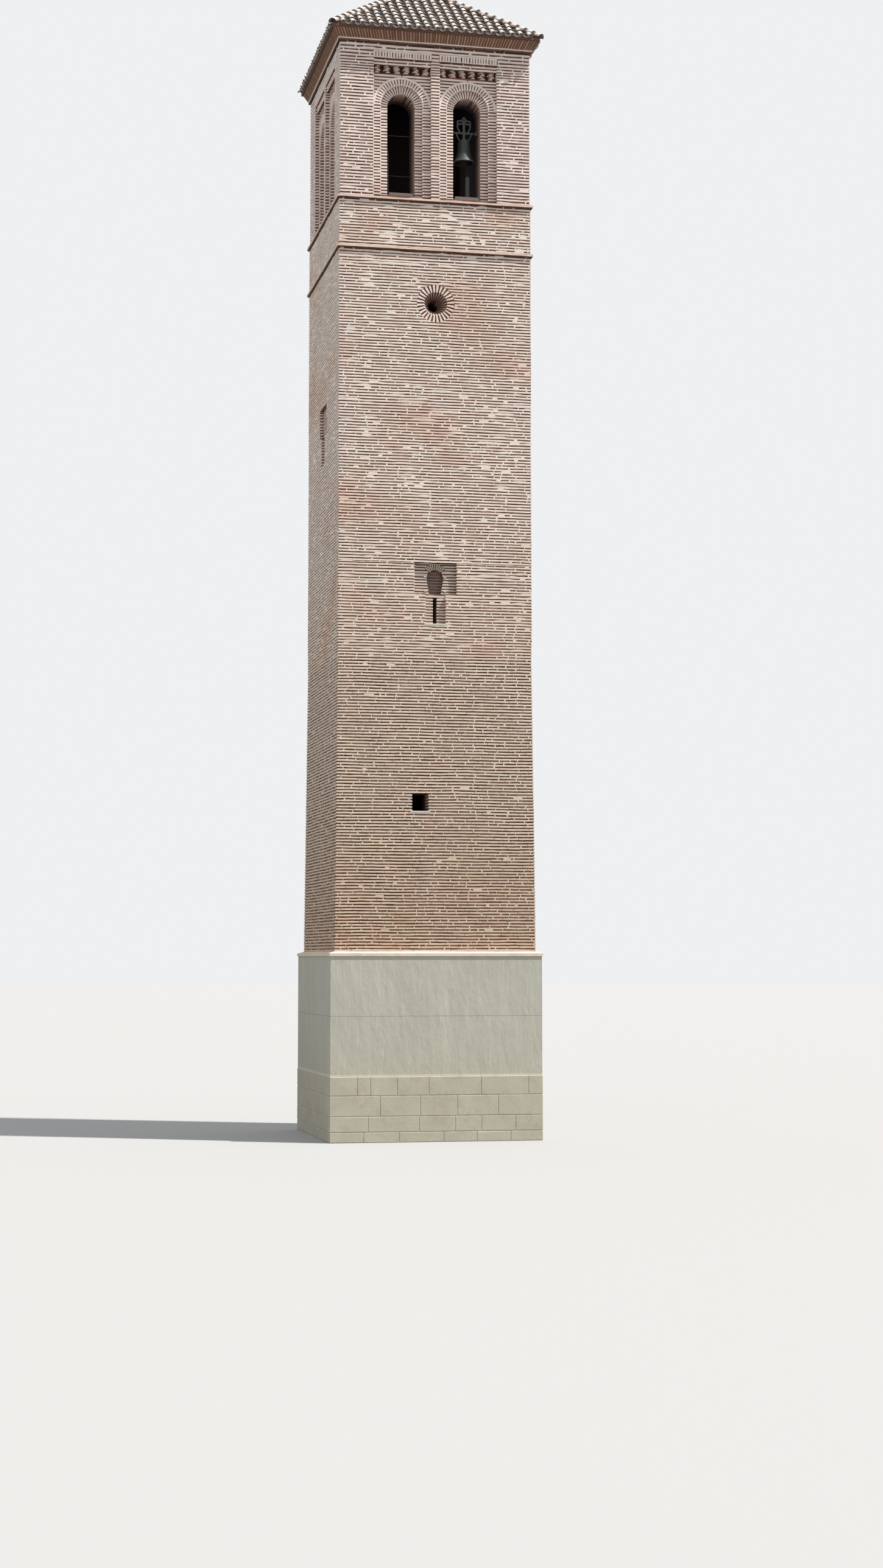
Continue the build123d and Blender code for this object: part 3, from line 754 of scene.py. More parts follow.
def shaft_zones(face, low, high, half):
    """Zones of a shaft face, from the ground up: each a top level and the runs of its courses.

    A run is the corners of its line, the kinds of its two ends, and the spans that take upright joints.
    """
    edge = minus(half)
    plain = [whole(half)]
    zones = []
    if face == "front" and low < WINDOW_LOW < high:
        left = ([(edge, 0), (WINDOW_LEFT, 0), (WINDOW_LEFT, WINDOW_REVEAL)], "corner", "free",
                [(edge, WINDOW_LEFT, 0)])
        right = ([(WINDOW_RIGHT, WINDOW_REVEAL), (WINDOW_RIGHT, 0), (half, 0)], "free", "corner",
                 [(WINDOW_RIGHT, half, 0)])
        zones += [(WINDOW_LOW, plain), (WINDOW_TOP, [left, right])]
    sill = SLOT_SILLS[face]
    if low < sill < high:
        slot_top, slit_top = sill + SLOT_HEIGHT, sill + SLIT_HEIGHT
        shoulder, frame_top = slot_top + NICHE_RISE, slot_top + FRAME_HEIGHT

        def niche(z):
            share = min(1, max(0, (z - slot_top) / NICHE_RISE))
            return NICHE_FOOT + (NICHE_WIDE - NICHE_FOOT) * share

        def niche_head(z):
            return chord(NICHE_HEAD, shoulder, z) + 0.001

        def haunch_end(z):
            rise = z - shoulder
            if rise >= NICHE_RING * math.sin(NICHE_FAN):
                return chord(NICHE_RING, shoulder, z) + 0.006
            fan = min(rise / math.tan(NICHE_FAN), NICHE_RING * math.cos(NICHE_FAN))
            return max(fan, chord(NICHE_HEAD, shoulder, z)) + 0.006

        slot_side = [(edge, 0), (-SLOT_HALF, 0), (-SLOT_HALF, FRAME_DEPTH)]
        slot_span = [(edge, -SLOT_HALF, 0)]
        frame_side = [(edge, 0), (-FRAME_HALF, 0), (-FRAME_HALF, FRAME_DEPTH)]
        frame_span = [(edge, -FRAME_HALF, 0)]
        slit_side = [(-SLIT_HALF, FRAME_DEPTH), (-SLIT_HALF, SLIT_REVEAL)]
        slit = (slot_side + slit_side, "corner", "free", slot_span)
        slot = both(slot_side, "corner", slot_span)
        niche_side = [(minus(niche), FRAME_DEPTH), (minus(niche), NICHE_DEPTH)]
        body = both(frame_side + niche_side, "corner", frame_span)
        haunch = (frame_side + [(minus(haunch_end), FRAME_DEPTH)], "corner", "free", frame_span)
        back = both([(minus(niche_head), NICHE_DEPTH)], "free")
        head = both(frame_side, "corner", frame_span)
        zones += [(sill, plain), (slit_top, [slit, flip(slit)]), (slot_top, [slot]), (shoulder, [body]),
                  (shoulder + NICHE_HEAD - 0.02, [haunch, flip(haunch), back]),
                  (shoulder + NICHE_RING - 0.02, [haunch, flip(haunch)]), (frame_top, [head])]
    if face == "front" and low < OCULUS < high:
        def oculus_edge(z):
            return -chord(OCULUS_RING, OCULUS, z)

        beside = ([(edge, 0), (oculus_edge, 0)], "corner", "free", [(edge, oculus_edge, 0)])
        zones += [(OCULUS - OCULUS_RING, plain), (OCULUS + OCULUS_RING, [beside, flip(beside)])]
    return zones + [(high, plain)]


def belfry_zones():
    """Zones of a belfry face, from its floor to the cornice."""
    corner = [(-BELFRY_HALF, 0), (-PANEL_OUTER, 0)]
    pier = corner + [(-PANEL_OUTER, PANEL_DEPTH)]
    pilaster = [(-PANEL_INNER, PANEL_DEPTH), (-PANEL_INNER, 0)]
    pier_span = (-BELFRY_HALF, -PANEL_OUTER, 0)
    foot = both(pier + pilaster, "corner", [pier_span])
    outer, inner = -PANEL_CENTRE - ORDER_HALF, -PANEL_CENTRE - JAMB_HALF
    steps = [(outer, PANEL_DEPTH), (outer, ORDER_DEPTH), (inner, ORDER_DEPTH), (inner, REVEAL_DEPTH)]
    jamb = (pier + steps, "corner", "free", [pier_span])
    outer, inner = ORDER_HALF - PANEL_CENTRE, JAMB_HALF - PANEL_CENTRE
    steps = [(inner, REVEAL_DEPTH), (inner, ORDER_DEPTH), (outer, ORDER_DEPTH), (outer, PANEL_DEPTH)]
    mullion = both(steps + pilaster, "free")

    def ring(z):
        return max(chord(RING_RADIUS, SPRINGING, z), 0.002)

    spandrel = (pier + [(lambda z: -PANEL_CENTRE - ring(z), PANEL_DEPTH)], "corner", "free", [pier_span])
    inside = both([(lambda z: ring(z) - PANEL_CENTRE, PANEL_DEPTH)] + pilaster, "free")
    deep = PANEL_DEPTH + TOOTH_DEPTH - 0.01
    beside = (corner + [(-PANEL_OUTER, deep)], "corner", "free", [pier_span])
    between = both([(-PANEL_INNER, deep), (-PANEL_INNER, 0)], "free")
    shelf = [(-PANEL_OUTER, LEDGE_DEPTH), (-PANEL_INNER, LEDGE_DEPTH), (-PANEL_INNER, 0)]
    ledge = both(corner + shelf, "corner", [pier_span, (-PANEL_OUTER, -PANEL_INNER, LEDGE_DEPTH)])
    post = both([(-PANEL_INNER, 0)], "free")
    outside = (corner, "corner", "free", [pier_span])
    return [(OPENING_LOW, [foot]), (SPRINGING + 0.012, [jamb, mullion, flip(jamb)]),
            (FRIEZE_LOW, [spandrel, inside, flip(spandrel)]), (BELFRY_TOP, [beside, between, flip(beside)]),
            (LEDGE_TOP, [ledge]), (SOLDIER_TOP, [outside, post, flip(outside)]),
            (CORNICE_LOW, [whole(BELFRY_HALF)])]


def clad(name, zones, low, half, pitch, share, finish, seed, spread):
    """Beds and upright joints over all four faces of a stage, as two pieces."""
    work = settings()[0]
    dice = random.Random(seed)
    beds_mesh, heads_mesh = bmesh.new(), bmesh.new()
    for face in FACES:
        floor = low
        for top, runs in zones[face]:
            beds, rows = courses(floor, top, pitch, share)
            for corners, start, end, spans in runs:
                path = Path(corners, (floor + top) / 2, work.segment, start, end)
                lay_beds(beds_mesh, face, half, path, beds, work.bed_proud, work.wander, spread)
                for span in spans:
                    lay_heads(heads_mesh, face, half, span, rows, work, dice, spread)
            floor = top
    bmesh.ops.remove_doubles(beds_mesh, verts=beds_mesh.verts, dist=1e-5)
    add_piece(beds_mesh, f"{name}_beds", finish)
    add_piece(heads_mesh, f"{name}_joints", finish)


def radial_bars(bm, face, half, centre, path_points, count, share, proud, span=(math.pi, 0.0)):
    """Wedges of mortar between the bricks of a ring, carried along a line of radius and depth."""
    x_centre, z_centre = centre
    mitres = normals_of(path_points)
    stations = []
    for k, (point, normal) in enumerate(zip(path_points, mitres)):
        closed = k in (0, len(path_points) - 1)
        if closed:
            stations.append((point, normal, -SINK))
            inner = path_points[1] if k == 0 else path_points[-2]
            run = math.hypot(inner[0] - point[0], inner[1] - point[1])
            part = min(0.5, CHAMFER / run)
            near = (point[0] + (inner[0] - point[0]) * part, point[1] + (inner[1] - point[1]) * part)
            stations.insert(len(stations) if k == 0 else len(stations) - 1, (near, normal, proud))
        else:
            stations.append((point, normal, proud))
    turn = (span[1] - span[0]) / count

    def place(bar, edge, row):
        (radius, depth), normal, lift = stations[row]
        start = bar + 0.5 * (1 - share)
        slope = CHAMFER / max(radius, 0.05) / abs(turn)
        angle = span[0] + turn * (start + (0, slope, share - slope, share)[edge])
        if edge in (0, 3):
            lift = -SINK
        stray = noise.noise(Vector((math.cos(angle) * 9, math.sin(angle) * 9, radius * 7 + x_centre)))
        angle += turn * 0.1 * stray
        radius += normal[0] * lift
        return to_world(face, x_centre + radius * math.cos(angle), depth - half + normal[1] * lift,
                        z_centre + radius * math.sin(angle))
    bar_sheet(bm, count, len(stations), place, False)


def flat_profile(low, high):
    """Profile of a bar that lies flat against a face between two levels."""
    return [(0, low, 1), (0, low + CHAMFER, 1), (0, high - CHAMFER, 1), (0, high, 1)]


def upright_bars(bm, face, half, profile, ends, count, share, proud, dice):
    """Bars side by side along a face, each following a profile of depth, level and widening."""
    left, right = ends
    pitch = (right - left) / count
    offsets = [dice.uniform(-0.1, 0.1) * pitch for _ in range(count)]
    wide = share * pitch / 2

    def place(bar, edge, row):
        depth, z, widening = profile[row]
        x = left + (bar + 0.5) * pitch + offsets[bar] + (-wide, CHAMFER - wide, wide - CHAMFER, wide)[edge]
        lift = -SINK if edge in (0, 3) or row in (0, len(profile) - 1) else proud
        return to_world(face, x * widening, depth - half - lift, z)
    bar_sheet(bm, count, len(profile), place, False)


def arc_bed(bm, face, half, centre, radii, depth, proud, steps=32):
    """Rim of mortar that runs round an arch between two radii."""
    x_centre, z_centre = centre
    inner, outer = radii

    def place(bar, edge, row):
        angle = math.pi - math.pi * row / (steps - 1)
        stray = noise.noise(Vector((math.cos(angle) * 7, math.sin(angle) * 7, x_centre + 3 * (edge > 1))))
        radius = (inner, inner + CHAMFER, outer - CHAMFER, outer)[edge] + 0.006 * stray
        lift = -SINK if edge in (0, 3) or row in (0, steps - 1) else proud + 0.002
        return to_world(face, x_centre + radius * math.cos(angle), depth - half - lift,
                        z_centre + radius * math.sin(angle))
    bar_sheet(bm, 1, steps, place, True)


def tooth(bm, face, x, rows, dice):
    """Corner of a brick laid askew, as a stack of rounded lumps that lean by turns."""
    lean = dice.choice((-1, 1))
    for low, high in rows:
        wide, stray = dice.uniform(0.042, 0.078), lean * dice.uniform(0.004, 0.024)
        lean = -lean
        plan = [(-wide, 0.092), (-0.8 * wide, 0.036), (-0.38 * wide, 0.004), (0.38 * wide, 0.004),
                (0.8 * wide, 0.036), (wide, 0.092)]
        path = Path([(x + stray + along, PANEL_DEPTH + deep) for along, deep in plan], low, 1.0)
        lay_beds(bm, face, BELFRY_HALF, path, [(low + dice.uniform(0, 0.008), high)], 0.016, 0.006)


def block(bm, face, low, high, edge=0.006, wobble=0.003, grain=9, seed=(0, 0, 0)):
    """Block with softened, uneven edges between two corners, given as along, depth and level on a face."""
    cube = bmesh.ops.create_cube(bm, size=1)["verts"]
    size = [b - a for a, b in zip(low, high)]
    for vert in cube:
        vert.co = [a + (c + 0.5) * s for a, c, s in zip(low, vert.co, size)]
    edges = list({e for vert in cube for e in vert.link_edges})
    made = bmesh.ops.bevel(bm, geom=edges, offset=edge, offset_type="OFFSET", segments=2, profile=0.5,
                           affect="EDGES", material=-1)
    for vert in {v for f in made["faces"] for v in f.verts}:
        vert.co = to_world(face, *(vert.co + wobble * noise.noise_vector(vert.co * grain + Vector(seed))))


class TOWER_OT_finishes(bpy.types.Operator):
    """Make the finishes and give every part of the frame its own"""
    bl_idname = "tower.finishes"
    bl_label = "Finishes"

    def execute(self, context):
        FINISHES.update(make_finishes())
        plan = {
            "granite_socle": "granite_joint", "rendered_plinth": "render", "plinth_coping": "coping",
            "lower_string_course": "ring_brick", "upper_string_course": "ring_brick",
            "plain_band": "band_brick", "cornice_base_course": "cornice_shade",
            "cornice_cove": "cornice_joint", "roof_hip_tiles": "tile_bed", "window_surrounds": "ring_brick",
            "belfry_sills": "sill", "bell": "bronze", "bell_yoke": "iron", "bell_bearings": "iron",
            "striker_post": "iron",
        }
        for name in NODES:
            if name.startswith("lower_shaft"):
                finish = "lower_brick"
            elif name.startswith("upper_shaft"):
                finish = "upper_brick"
            elif name.startswith("roof_slope"):
                finish = "tile_bed"
            elif name.startswith("sawtooth_frieze"):
                finish = "frieze_brick"
            else:
                finish = plan.get(name, "belfry_brick")
            finish_node(name, finish)
        return {"FINISHED"}


class TOWER_OT_foot(bpy.types.Operator):
    """Lay the rows of granite blocks round the foot"""
    bl_idname = "tower.foot"
    bl_label = "Granite foot"

    def execute(self, context):
        dice = random.Random(11)
        bm = bmesh.new()
        front = -PLINTH_HALF - GRANITE_PROUD
        for face in FACES:
            for low, high, seen in zip(GRANITE_LEVELS, GRANITE_LEVELS[1:], FRONT_JOINTS):
                cuts = [-PLINTH_HALF, *(seen if face == "front" else ())]
                while cuts[-1] < PLINTH_HALF - 1.25:
                    cuts.append(cuts[-1] + dice.uniform(0.55, 1.15))
                cuts.append(PLINTH_HALF)
                for left, right in zip(cuts, cuts[1:]):
                    corner = left == -PLINTH_HALF
                    left_end = left - GRANITE_PROUD if corner else left + GRANITE_JOINT / 2
                    right_end = right if right == PLINTH_HALF else right - GRANITE_JOINT / 2
                    depth = 0.10 if corner else 0.06
                    block(bm, face, (left_end, front, low + GRANITE_JOINT / 2),
                          (right_end, front + depth, high - GRANITE_JOINT / 2),
                          edge=0.012, wobble=0.004, grain=6, seed=(left * 3, low * 5, 0))
        add_piece(bm, "granite_blocks", "granite", smooth=False)
        return {"FINISHED"}


class TOWER_OT_shaft(bpy.types.Operator):
    """Lay the courses of the shaft and of the plain band round their windows"""
    bl_idname = "tower.shaft"
    bl_label = "Shaft brickwork"

    def execute(self, context):
        work = settings()[0]
        lower = (work.lower_pitch, work.lower_share, "lower_mortar")
        upper = (work.upper_pitch, work.bed_share, "upper_mortar")
        for name, low, high, half, brickwork, seed, spread in (
                ("lower_shaft", COPING_TOP, KNEE, shaft_half, lower, 21, 0.15),
                ("upper_shaft", KNEE, SHAFT_TOP, SHAFT_HALF, upper, 22, 0.6),
                ("plain_band", BAND_LOW, BAND_TOP, SHAFT_HALF, upper, 23, 1.0)):
            zones = {face: shaft_zones(face, low, high, half) for face in FACES}
            clad(name, zones, low, half, *brickwork, seed, spread)
        return {"FINISHED"}


class TOWER_OT_belfry(bpy.types.Operator):
    """Lay the courses of the belfry round its panels, arches and friezes"""
    bl_idname = "tower.belfry"
    bl_label = "Belfry brickwork"

    def execute(self, context):
        work = settings()[0]
        proud = work.bed_proud
        clad("belfry", dict.fromkeys(FACES, belfry_zones()), BELFRY_LOW, BELFRY_HALF, work.belfry_pitch,
             work.bed_share - 0.03, "belfry_mortar", 31, 0.5)
        dice = random.Random(32)
        rings, soldiers, teeth = bmesh.new(), bmesh.new(), bmesh.new()
        outer_order = [(ORDER_HALF, ORDER_DEPTH), (ORDER_HALF, PANEL_DEPTH), (RING_RADIUS, PANEL_DEPTH)]
        inner_order = [(JAMB_HALF, REVEAL_DEPTH), (JAMB_HALF, ORDER_DEPTH), (ORDER_HALF, ORDER_DEPTH)]
        low, high = LEDGE_TOP + 0.01, SOLDIER_TOP
        upright = flat_profile(low, high)
        lumps = [(a + 0.018, b - 0.008) for a, b in courses(FRIEZE_LOW, BELFRY_TOP, 0.05, 0.0)[1]]
        for face in FACES:
            for side in (-1, 1):
                centre = (side * PANEL_CENTRE, SPRINGING)
                radial_bars(rings, face, BELFRY_HALF, centre, outer_order, work.arch_bricks, 0.68, proud)
                radial_bars(rings, face, BELFRY_HALF, centre, inner_order, work.arch_bricks - 5, 0.7, proud)
                near, far = sorted((side * PANEL_INNER, side * PANEL_OUTER))
                upright_bars(soldiers, face, BELFRY_HALF, upright, (near, far), 21, 0.74, proud, dice)
                path = Path([(near, 0), (far, 0)], low, work.segment)
                lay_beds(soldiers, face, BELFRY_HALF, path, [(low, low + 0.024), (high - 0.034, high)], proud,
                         work.wander)
                for radii in ((RING_RADIUS - 0.045, RING_RADIUS + 0.012), (ORDER_HALF, ORDER_HALF + 0.022)):
                    arc_bed(rings, face, BELFRY_HALF, centre, radii, PANEL_DEPTH, proud)
                for k in range(TEETH):
                    tooth(teeth, face, near + (k + 0.5) * (far - near) / TEETH, lumps, dice)
        add_piece(rings, "arch_rings", "belfry_mortar")
        add_piece(soldiers, "soldier_courses", "belfry_mortar")
        add_piece(teeth, "frieze_teeth", "frieze_mortar")
        return {"FINISHED"}


class TOWER_OT_windows(bpy.types.Operator):
    """Lay the rings of the round window and the niches, and set the window sills"""
    bl_idname = "tower.windows"
    bl_label = "Window rings"

    def execute(self, context):
        work = settings()[0]
        rings, sills = bmesh.new(), bmesh.new()
        full_turn = (math.pi * 1.5, -math.pi * 0.5)
        ring = [(OCULUS_SPLAY - 0.01, 0.02), (OCULUS_SPLAY, 0), (OCULUS_RING, 0)]
        splay = [(OCULUS_HOLE + 0.01, OCULUS_DEPTH * 0.94), (OCULUS_SPLAY - 0.012, 0.02)]
        radial_bars(rings, "front", SHAFT_HALF, (0, OCULUS), ring, 28, 0.58, 0.012, full_turn)
        radial_bars(rings, "front", SHAFT_HALF, (0, OCULUS), splay, 24, 0.34, 0.004, full_turn)
        half = shaft_half(WINDOW_LOW)
        block(sills, "front", (WINDOW_LEFT - 0.03, -half - 0.022, WINDOW_LOW - 0.045),
              (WINDOW_RIGHT + 0.03, 0.08 - half, WINDOW_LOW + 0.004))
        frame_face = FRAME_DEPTH - SHAFT_HALF
        hood = [(NICHE_HEAD, NICHE_DEPTH), (NICHE_HEAD, FRAME_DEPTH), (NICHE_RING, FRAME_DEPTH)]
        for face in FACES:
            sill = SLOT_SILLS[face]
            shoulder = sill + SLOT_HEIGHT + NICHE_RISE
            radial_bars(rings, face, SHAFT_HALF, (0, shoulder), hood, 9, 0.62, work.bed_proud,
                        (math.pi - NICHE_FAN, NICHE_FAN))
            block(sills, face, (-SLOT_HALF - 0.02, -SHAFT_HALF - 0.022, sill - 0.04),
                  (SLOT_HALF + 0.02, frame_face, sill + 0.004))
            for side in (-1, 1):
                near, far = sorted((side * (NICHE_WIDE - 0.025), side * (NICHE_WIDE + 0.045)))
                for level in (shoulder, shoulder - 0.36):
                    block(sills, face, (near, frame_face - 0.03, level - 0.025),
                          (far, frame_face + 0.05, level + 0.025))
        add_piece(rings, "window_rings", "upper_mortar")
        add_piece(sills, "window_sills", "repair_mortar", smooth=False)
        return {"FINISHED"}


class TOWER_OT_cornice(bpy.types.Operator):
    """Lay the beds of the strings, and the bricks and the bed of the cornice and its cove"""
    bl_idname = "tower.cornice"
    bl_label = "Strings and cornice"

    def execute(self, context):
        work = settings()[0]
        dice = random.Random(41)
        cove, strings, bed = bmesh.new(), bmesh.new(), bmesh.new()
        foot, rise = COVE_FOOT_HALF, COVE_TOP - COVE_LOW
        flare = []
        for share in (0, 0.04, 0.96, 1):
            reach = foot + (COVE_HEAD_HALF - foot) * share
            flare.append((foot - reach, COVE_LOW + rise * share, reach / foot))
        base = flat_profile(CORNICE_LOW + 0.002, CORNICE_LOW + 0.04)
        base_bed = [(CORNICE_LOW + 0.044, COVE_LOW - 0.002)]
        string_beds = [(level + 0.022, level + 0.072) for level in (SHAFT_TOP, BAND_TOP)]
        for face in FACES:
            upright_bars(cove, face, foot, flare, (-foot, foot), COVE_BRICKS, 0.8, 0.006, dice)
            upright_bars(cove, face, CORNICE_HALF, base, (-CORNICE_HALF, CORNICE_HALF), 20, 0.94, 0.004, dice)
            for mesh, half, beds, wander in ((bed, CORNICE_HALF, base_bed, 0.4),
                                             (strings, STRING_HALF, string_beds, 0.6)):
                path = Path([(-half, 0), (half, 0)], beds[0][0], work.segment, "corner", "corner")
                lay_beds(mesh, face, half, path, beds, 0.014, work.wander * wander)
        add_piece(cove, "cornice_bricks", "cornice_brick")
        add_piece(bed, "cornice_bed", "belfry_mortar")
        add_piece(strings, "string_beds", "string_bed")
        return {"FINISHED"}


class TOWER_OT_roof(bpy.types.Operator):
    """Lay barrel tiles up the four slopes and over the hips"""
    bl_idname = "tower.roof"
    bl_label = "Roof tiles"

    def execute(self, context):
        roof = settings()[1]
        dice = random.Random(51)
        rise = APEX - EAVES_TOP
        slope = math.hypot(EAVES_HALF, rise)
        up = Vector((0, EAVES_HALF, rise)) / slope
        out = Vector((0, -rise, EAVES_HALF)) / slope
        radius, exposure, thick = roof.tile_radius, roof.tile_exposure, roof.tile_thickness
        covers, channels, plugs, hips = bmesh.new(), bmesh.new(), bmesh.new(), bmesh.new()
        columns = int((EAVES_HALF - radius) / roof.tile_pitch)
        arc = 8

        def column(bm, face, x, count, hollow):
            shifts = [(dice.uniform(-0.009, 0.009), dice.uniform(-0.02, 0.02)) for _ in range(count)]

            def place(bar, edge, row):
                start = bar * exposure - (0.06 if hollow else 0.03)
                v = (start + 0.1, start, start, start + exposure + 0.05)[edge]
                reach = (radius - thick, radius - thick, radius, radius * 0.84)[edge]
                lift = (0.026, 0.044, 0.044, 0.016)[edge]
                if hollow:
                    angle = math.pi * row / (arc - 1)
                    side = -math.cos(angle) * reach * 1.12
                    height = radius * 0.9 - math.sin(angle) * reach * 0.9
                    lift -= 0.03
                else:
                    angle = math.radians(-20 + 220 * row / (arc - 1))
                    side, height = -math.cos(angle) * reach, math.sin(angle) * reach
                shift, tip = shifts[bar]
                eaves = Vector((x + side + shift, -EAVES_HALF, EAVES_TOP))
                return to_world(face, *(eaves + up * (v + tip) + out * (height + lift)))
            bar_sheet(bm, count, arc, place, True)

        def room(x):
            """Length of the slope over a place along the eaves."""
            return slope * (1 - abs(x) / EAVES_HALF)

        for face in FACES:
            for k in range(-columns, columns + 1):
                x = k * roof.tile_pitch
                column(covers, face, x, max(1, round((room(x) - 0.05) / exposure)), False)
                disc = bmesh.ops.create_circle(plugs, cap_ends=True, segments=14, radius=radius - thick / 2)
                for vert in disc["verts"]:
                    eaves = Vector((x + vert.co.x, -EAVES_HALF, EAVES_TOP))
                    vert.co = to_world(face, *(eaves + out * (0.042 + vert.co.y)))
                x += roof.tile_pitch / 2
                if k < columns:
                    column(channels, face, x, max(1, round(room(x) / exposure)), True)
        bmesh.ops.recalc_face_normals(plugs, faces=plugs.faces)

        start = Vector((-EAVES_HALF, -EAVES_HALF, EAVES_TOP))
        run = Vector((0, 0, APEX)) - start
        along = run.normalized()
        side = along.cross(Vector((0, 0, 1))).normalized()
        over = side.cross(along)
        for face in FACES:
            def place(bar, edge, row):
                v = bar * exposure
                v = (v + 0.12, v, v, v + exposure + 0.05)[edge]
                reach = (0.094, 0.094, 0.108, 0.092)[edge]
                angle = math.pi * row / (arc - 1)
                height = math.sin(angle) * reach + (0.005, 0.022, 0.022, 0)[edge]
                point = start + along * (v - 0.02) - side * (math.cos(angle) * reach * 1.1) + over * height
                return to_world(face, *point)
            bar_sheet(hips, round(run.length / exposure), arc, place, True)
        cap = Matrix.Translation((0, 0, APEX - 0.02)) @ Matrix.Diagonal((1, 1, 0.8, 1))
        bmesh.ops.create_uvsphere(hips, u_segments=16, v_segments=8, radius=0.2, matrix=cap)
        add_piece(covers, "cover_tiles", "tile")
        add_piece(channels, "channel_tiles", "channel_tile")
        add_piece(plugs, "eaves_mortar", "eaves_mortar")
        add_piece(hips, "hip_tiles", "tile")
        return {"FINISHED"}


class TOWER_OT_ironwork(bpy.types.Operator):
    """Put the two rails and the post in the opening beside the bell"""
    bl_idname = "tower.ironwork"
    bl_label = "Rails and post"

    def execute(self, context):
        bm = bmesh.new()
        depth = RAIL_DEPTH - BELFRY_HALF
        for level in RAIL_LEVELS:
            place = Matrix.Translation((-PANEL_CENTRE, depth, level)) @ Matrix.Rotation(math.pi / 2, 4, "Y")
            bmesh.ops.create_cone(bm, cap_ends=True, segments=12, radius1=RAIL_RADIUS, radius2=RAIL_RADIUS,
                                  depth=2 * JAMB_HALF, matrix=place)
        x = 0.07 - PANEL_CENTRE - JAMB_HALF
        wide, high = POST_WIDTH / 2, POST_HEIGHT / 2
        block(bm, "front", (x - wide, depth - wide, POST_MIDDLE - high),
              (x + wide, depth + wide, POST_MIDDLE + high), wobble=0)
        add_piece(bm, "opening_rails", "pale_iron", smooth=False)
        return {"FINISHED"}


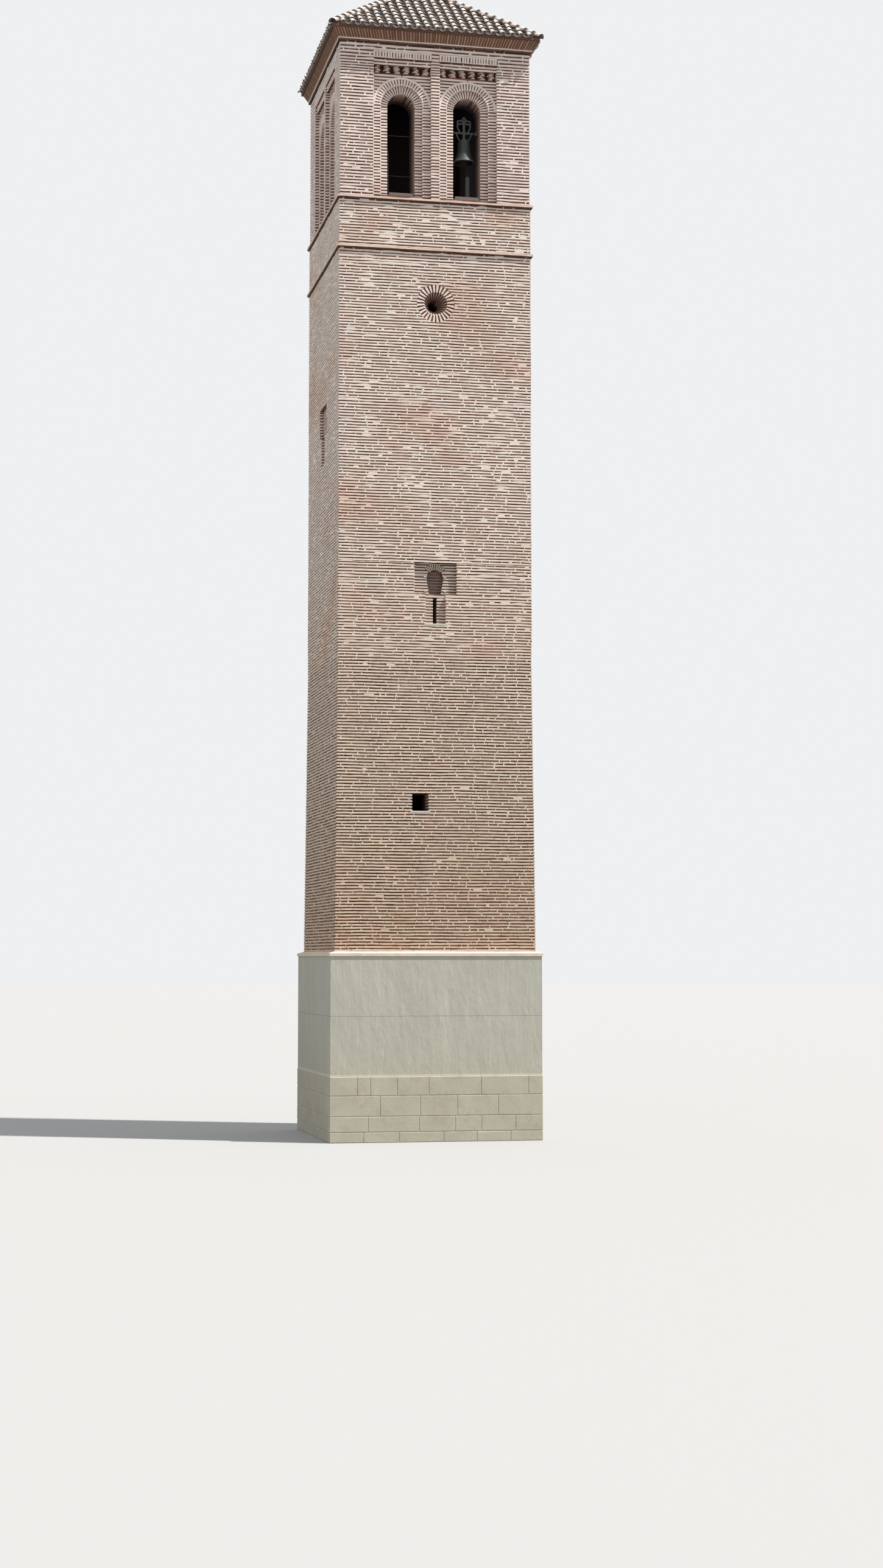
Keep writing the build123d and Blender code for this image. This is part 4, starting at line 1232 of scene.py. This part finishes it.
class TOWER_OT_stage(bpy.types.Operator):
    """Set the floor, the lights, the backdrop and the camera"""
    bl_idname = "tower.stage"
    bl_label = "Stage"

    def execute(self, context):
        scene = context.scene
        bm = bmesh.new()
        bmesh.ops.create_circle(bm, cap_ends=True, segments=96, radius=400)
        mesh = bpy.data.meshes.new("floor")
        bm.to_mesh(mesh)
        bm.free()
        floor = bpy.data.objects.new("floor", mesh)
        scene.collection.objects.link(floor)
        pale = Finish("pale_floor", roughness=0.95)
        seen_by = pale.tree.nodes.new("ShaderNodeLightPath")
        pale.colour(pale.mix(seen_by.outputs["Is Camera Ray"], (0.2, 0.197, 0.19, 1), (0.4, 0.4, 0.397, 1)))
        mesh.materials.append(pale.material)

        sun = bpy.data.lights.new("sun", "SUN")
        sun.energy = 5.2
        sun.angle = math.radians(1.5)
        sun.color = (1.0, 0.97, 0.93)
        lamp = bpy.data.objects.new("sun", sun)
        towards = Vector((1.9, -1.0, 3.9)).normalized()
        lamp.rotation_euler = towards.to_track_quat("Z", "Y").to_euler()
        lamp.location = towards * 40
        scene.collection.objects.link(lamp)

        world = bpy.data.worlds.new("studio")
        scene.world = world
        world.use_nodes = True
        nodes, links = world.node_tree.nodes, world.node_tree.links
        fill = nodes["Background"]
        fill.inputs["Color"].default_value = (0.94, 0.97, 1.0, 1)
        fill.inputs["Strength"].default_value = 0.69
        seen = nodes.new("ShaderNodeBackground")
        seen.inputs["Color"].default_value = (0.86, 0.87, 0.88, 1)
        seen.inputs["Strength"].default_value = 1.0
        rays = nodes.new("ShaderNodeLightPath")
        shows = rays.outputs["Is Camera Ray"]
        for kind in ("Is Glossy Ray", "Is Transmission Ray"):
            either = nodes.new("ShaderNodeMath")
            either.operation = "MAXIMUM"
            links.new(shows, either.inputs[0])
            links.new(rays.outputs[kind], either.inputs[1])
            shows = either.outputs[0]
        blend = nodes.new("ShaderNodeMixShader")
        for socket, source in zip(blend.inputs, (shows, fill.outputs[0], seen.outputs[0])):
            links.new(source, socket)
        links.new(blend.outputs[0], nodes["World Output"].inputs["Surface"])

        camera = bpy.data.cameras.new("camera")
        camera.sensor_fit = "VERTICAL"
        camera.sensor_height = 36
        camera.lens = 57.59
        camera.clip_end = 1000
        eye = bpy.data.objects.new("camera", camera)
        eye.location = (-12.487, -63.115, 4.448)
        eye.rotation_euler = (math.radians(94.0), 0, math.radians(-11.766))
        scene.collection.objects.link(eye)
        scene.camera = eye
        scene.view_settings.view_transform = "Standard"
        return {"FINISHED"}


class TOWER_PT_panel(bpy.types.Panel):
    """Steps that dress the tower"""
    bl_idname = "TOWER_PT_panel"
    bl_label = "Bell Tower"
    bl_space_type = "VIEW_3D"
    bl_region_type = "UI"
    bl_category = "Bell Tower"

    def draw(self, context):
        scene = context.scene
        for group in (scene.tower_brickwork, scene.tower_roof, scene.tower_colours):
            box = self.layout.box()
            for name in group.__annotations__:
                box.prop(group, name)
        for step in STEPS:
            self.layout.operator(step.bl_idname)


GROUPS = {"tower_brickwork": TowerBrickwork, "tower_roof": TowerRoof, "tower_colours": TowerColours}
STEPS = (TOWER_OT_finishes, TOWER_OT_foot, TOWER_OT_shaft, TOWER_OT_belfry, TOWER_OT_windows,
         TOWER_OT_cornice, TOWER_OT_roof, TOWER_OT_ironwork, TOWER_OT_stage)
CLASSES = (*GROUPS.values(), *STEPS, TOWER_PT_panel)


def register():
    for cls in CLASSES:
        bpy.utils.register_class(cls)
    for name, group in GROUPS.items():
        setattr(bpy.types.Scene, name, PointerProperty(type=group))


def unregister():
    for name in GROUPS:
        delattr(bpy.types.Scene, name)
    for cls in reversed(CLASSES):
        bpy.utils.unregister_class(cls)


def main():
    register()
    bpy.ops.tower.finishes()
    bpy.ops.tower.foot()
    bpy.ops.tower.shaft()
    bpy.ops.tower.belfry()
    bpy.ops.tower.windows()
    bpy.ops.tower.cornice()
    bpy.ops.tower.roof()
    bpy.ops.tower.ironwork()
    bpy.ops.tower.stage()


if __name__ == "__main__":
    main()
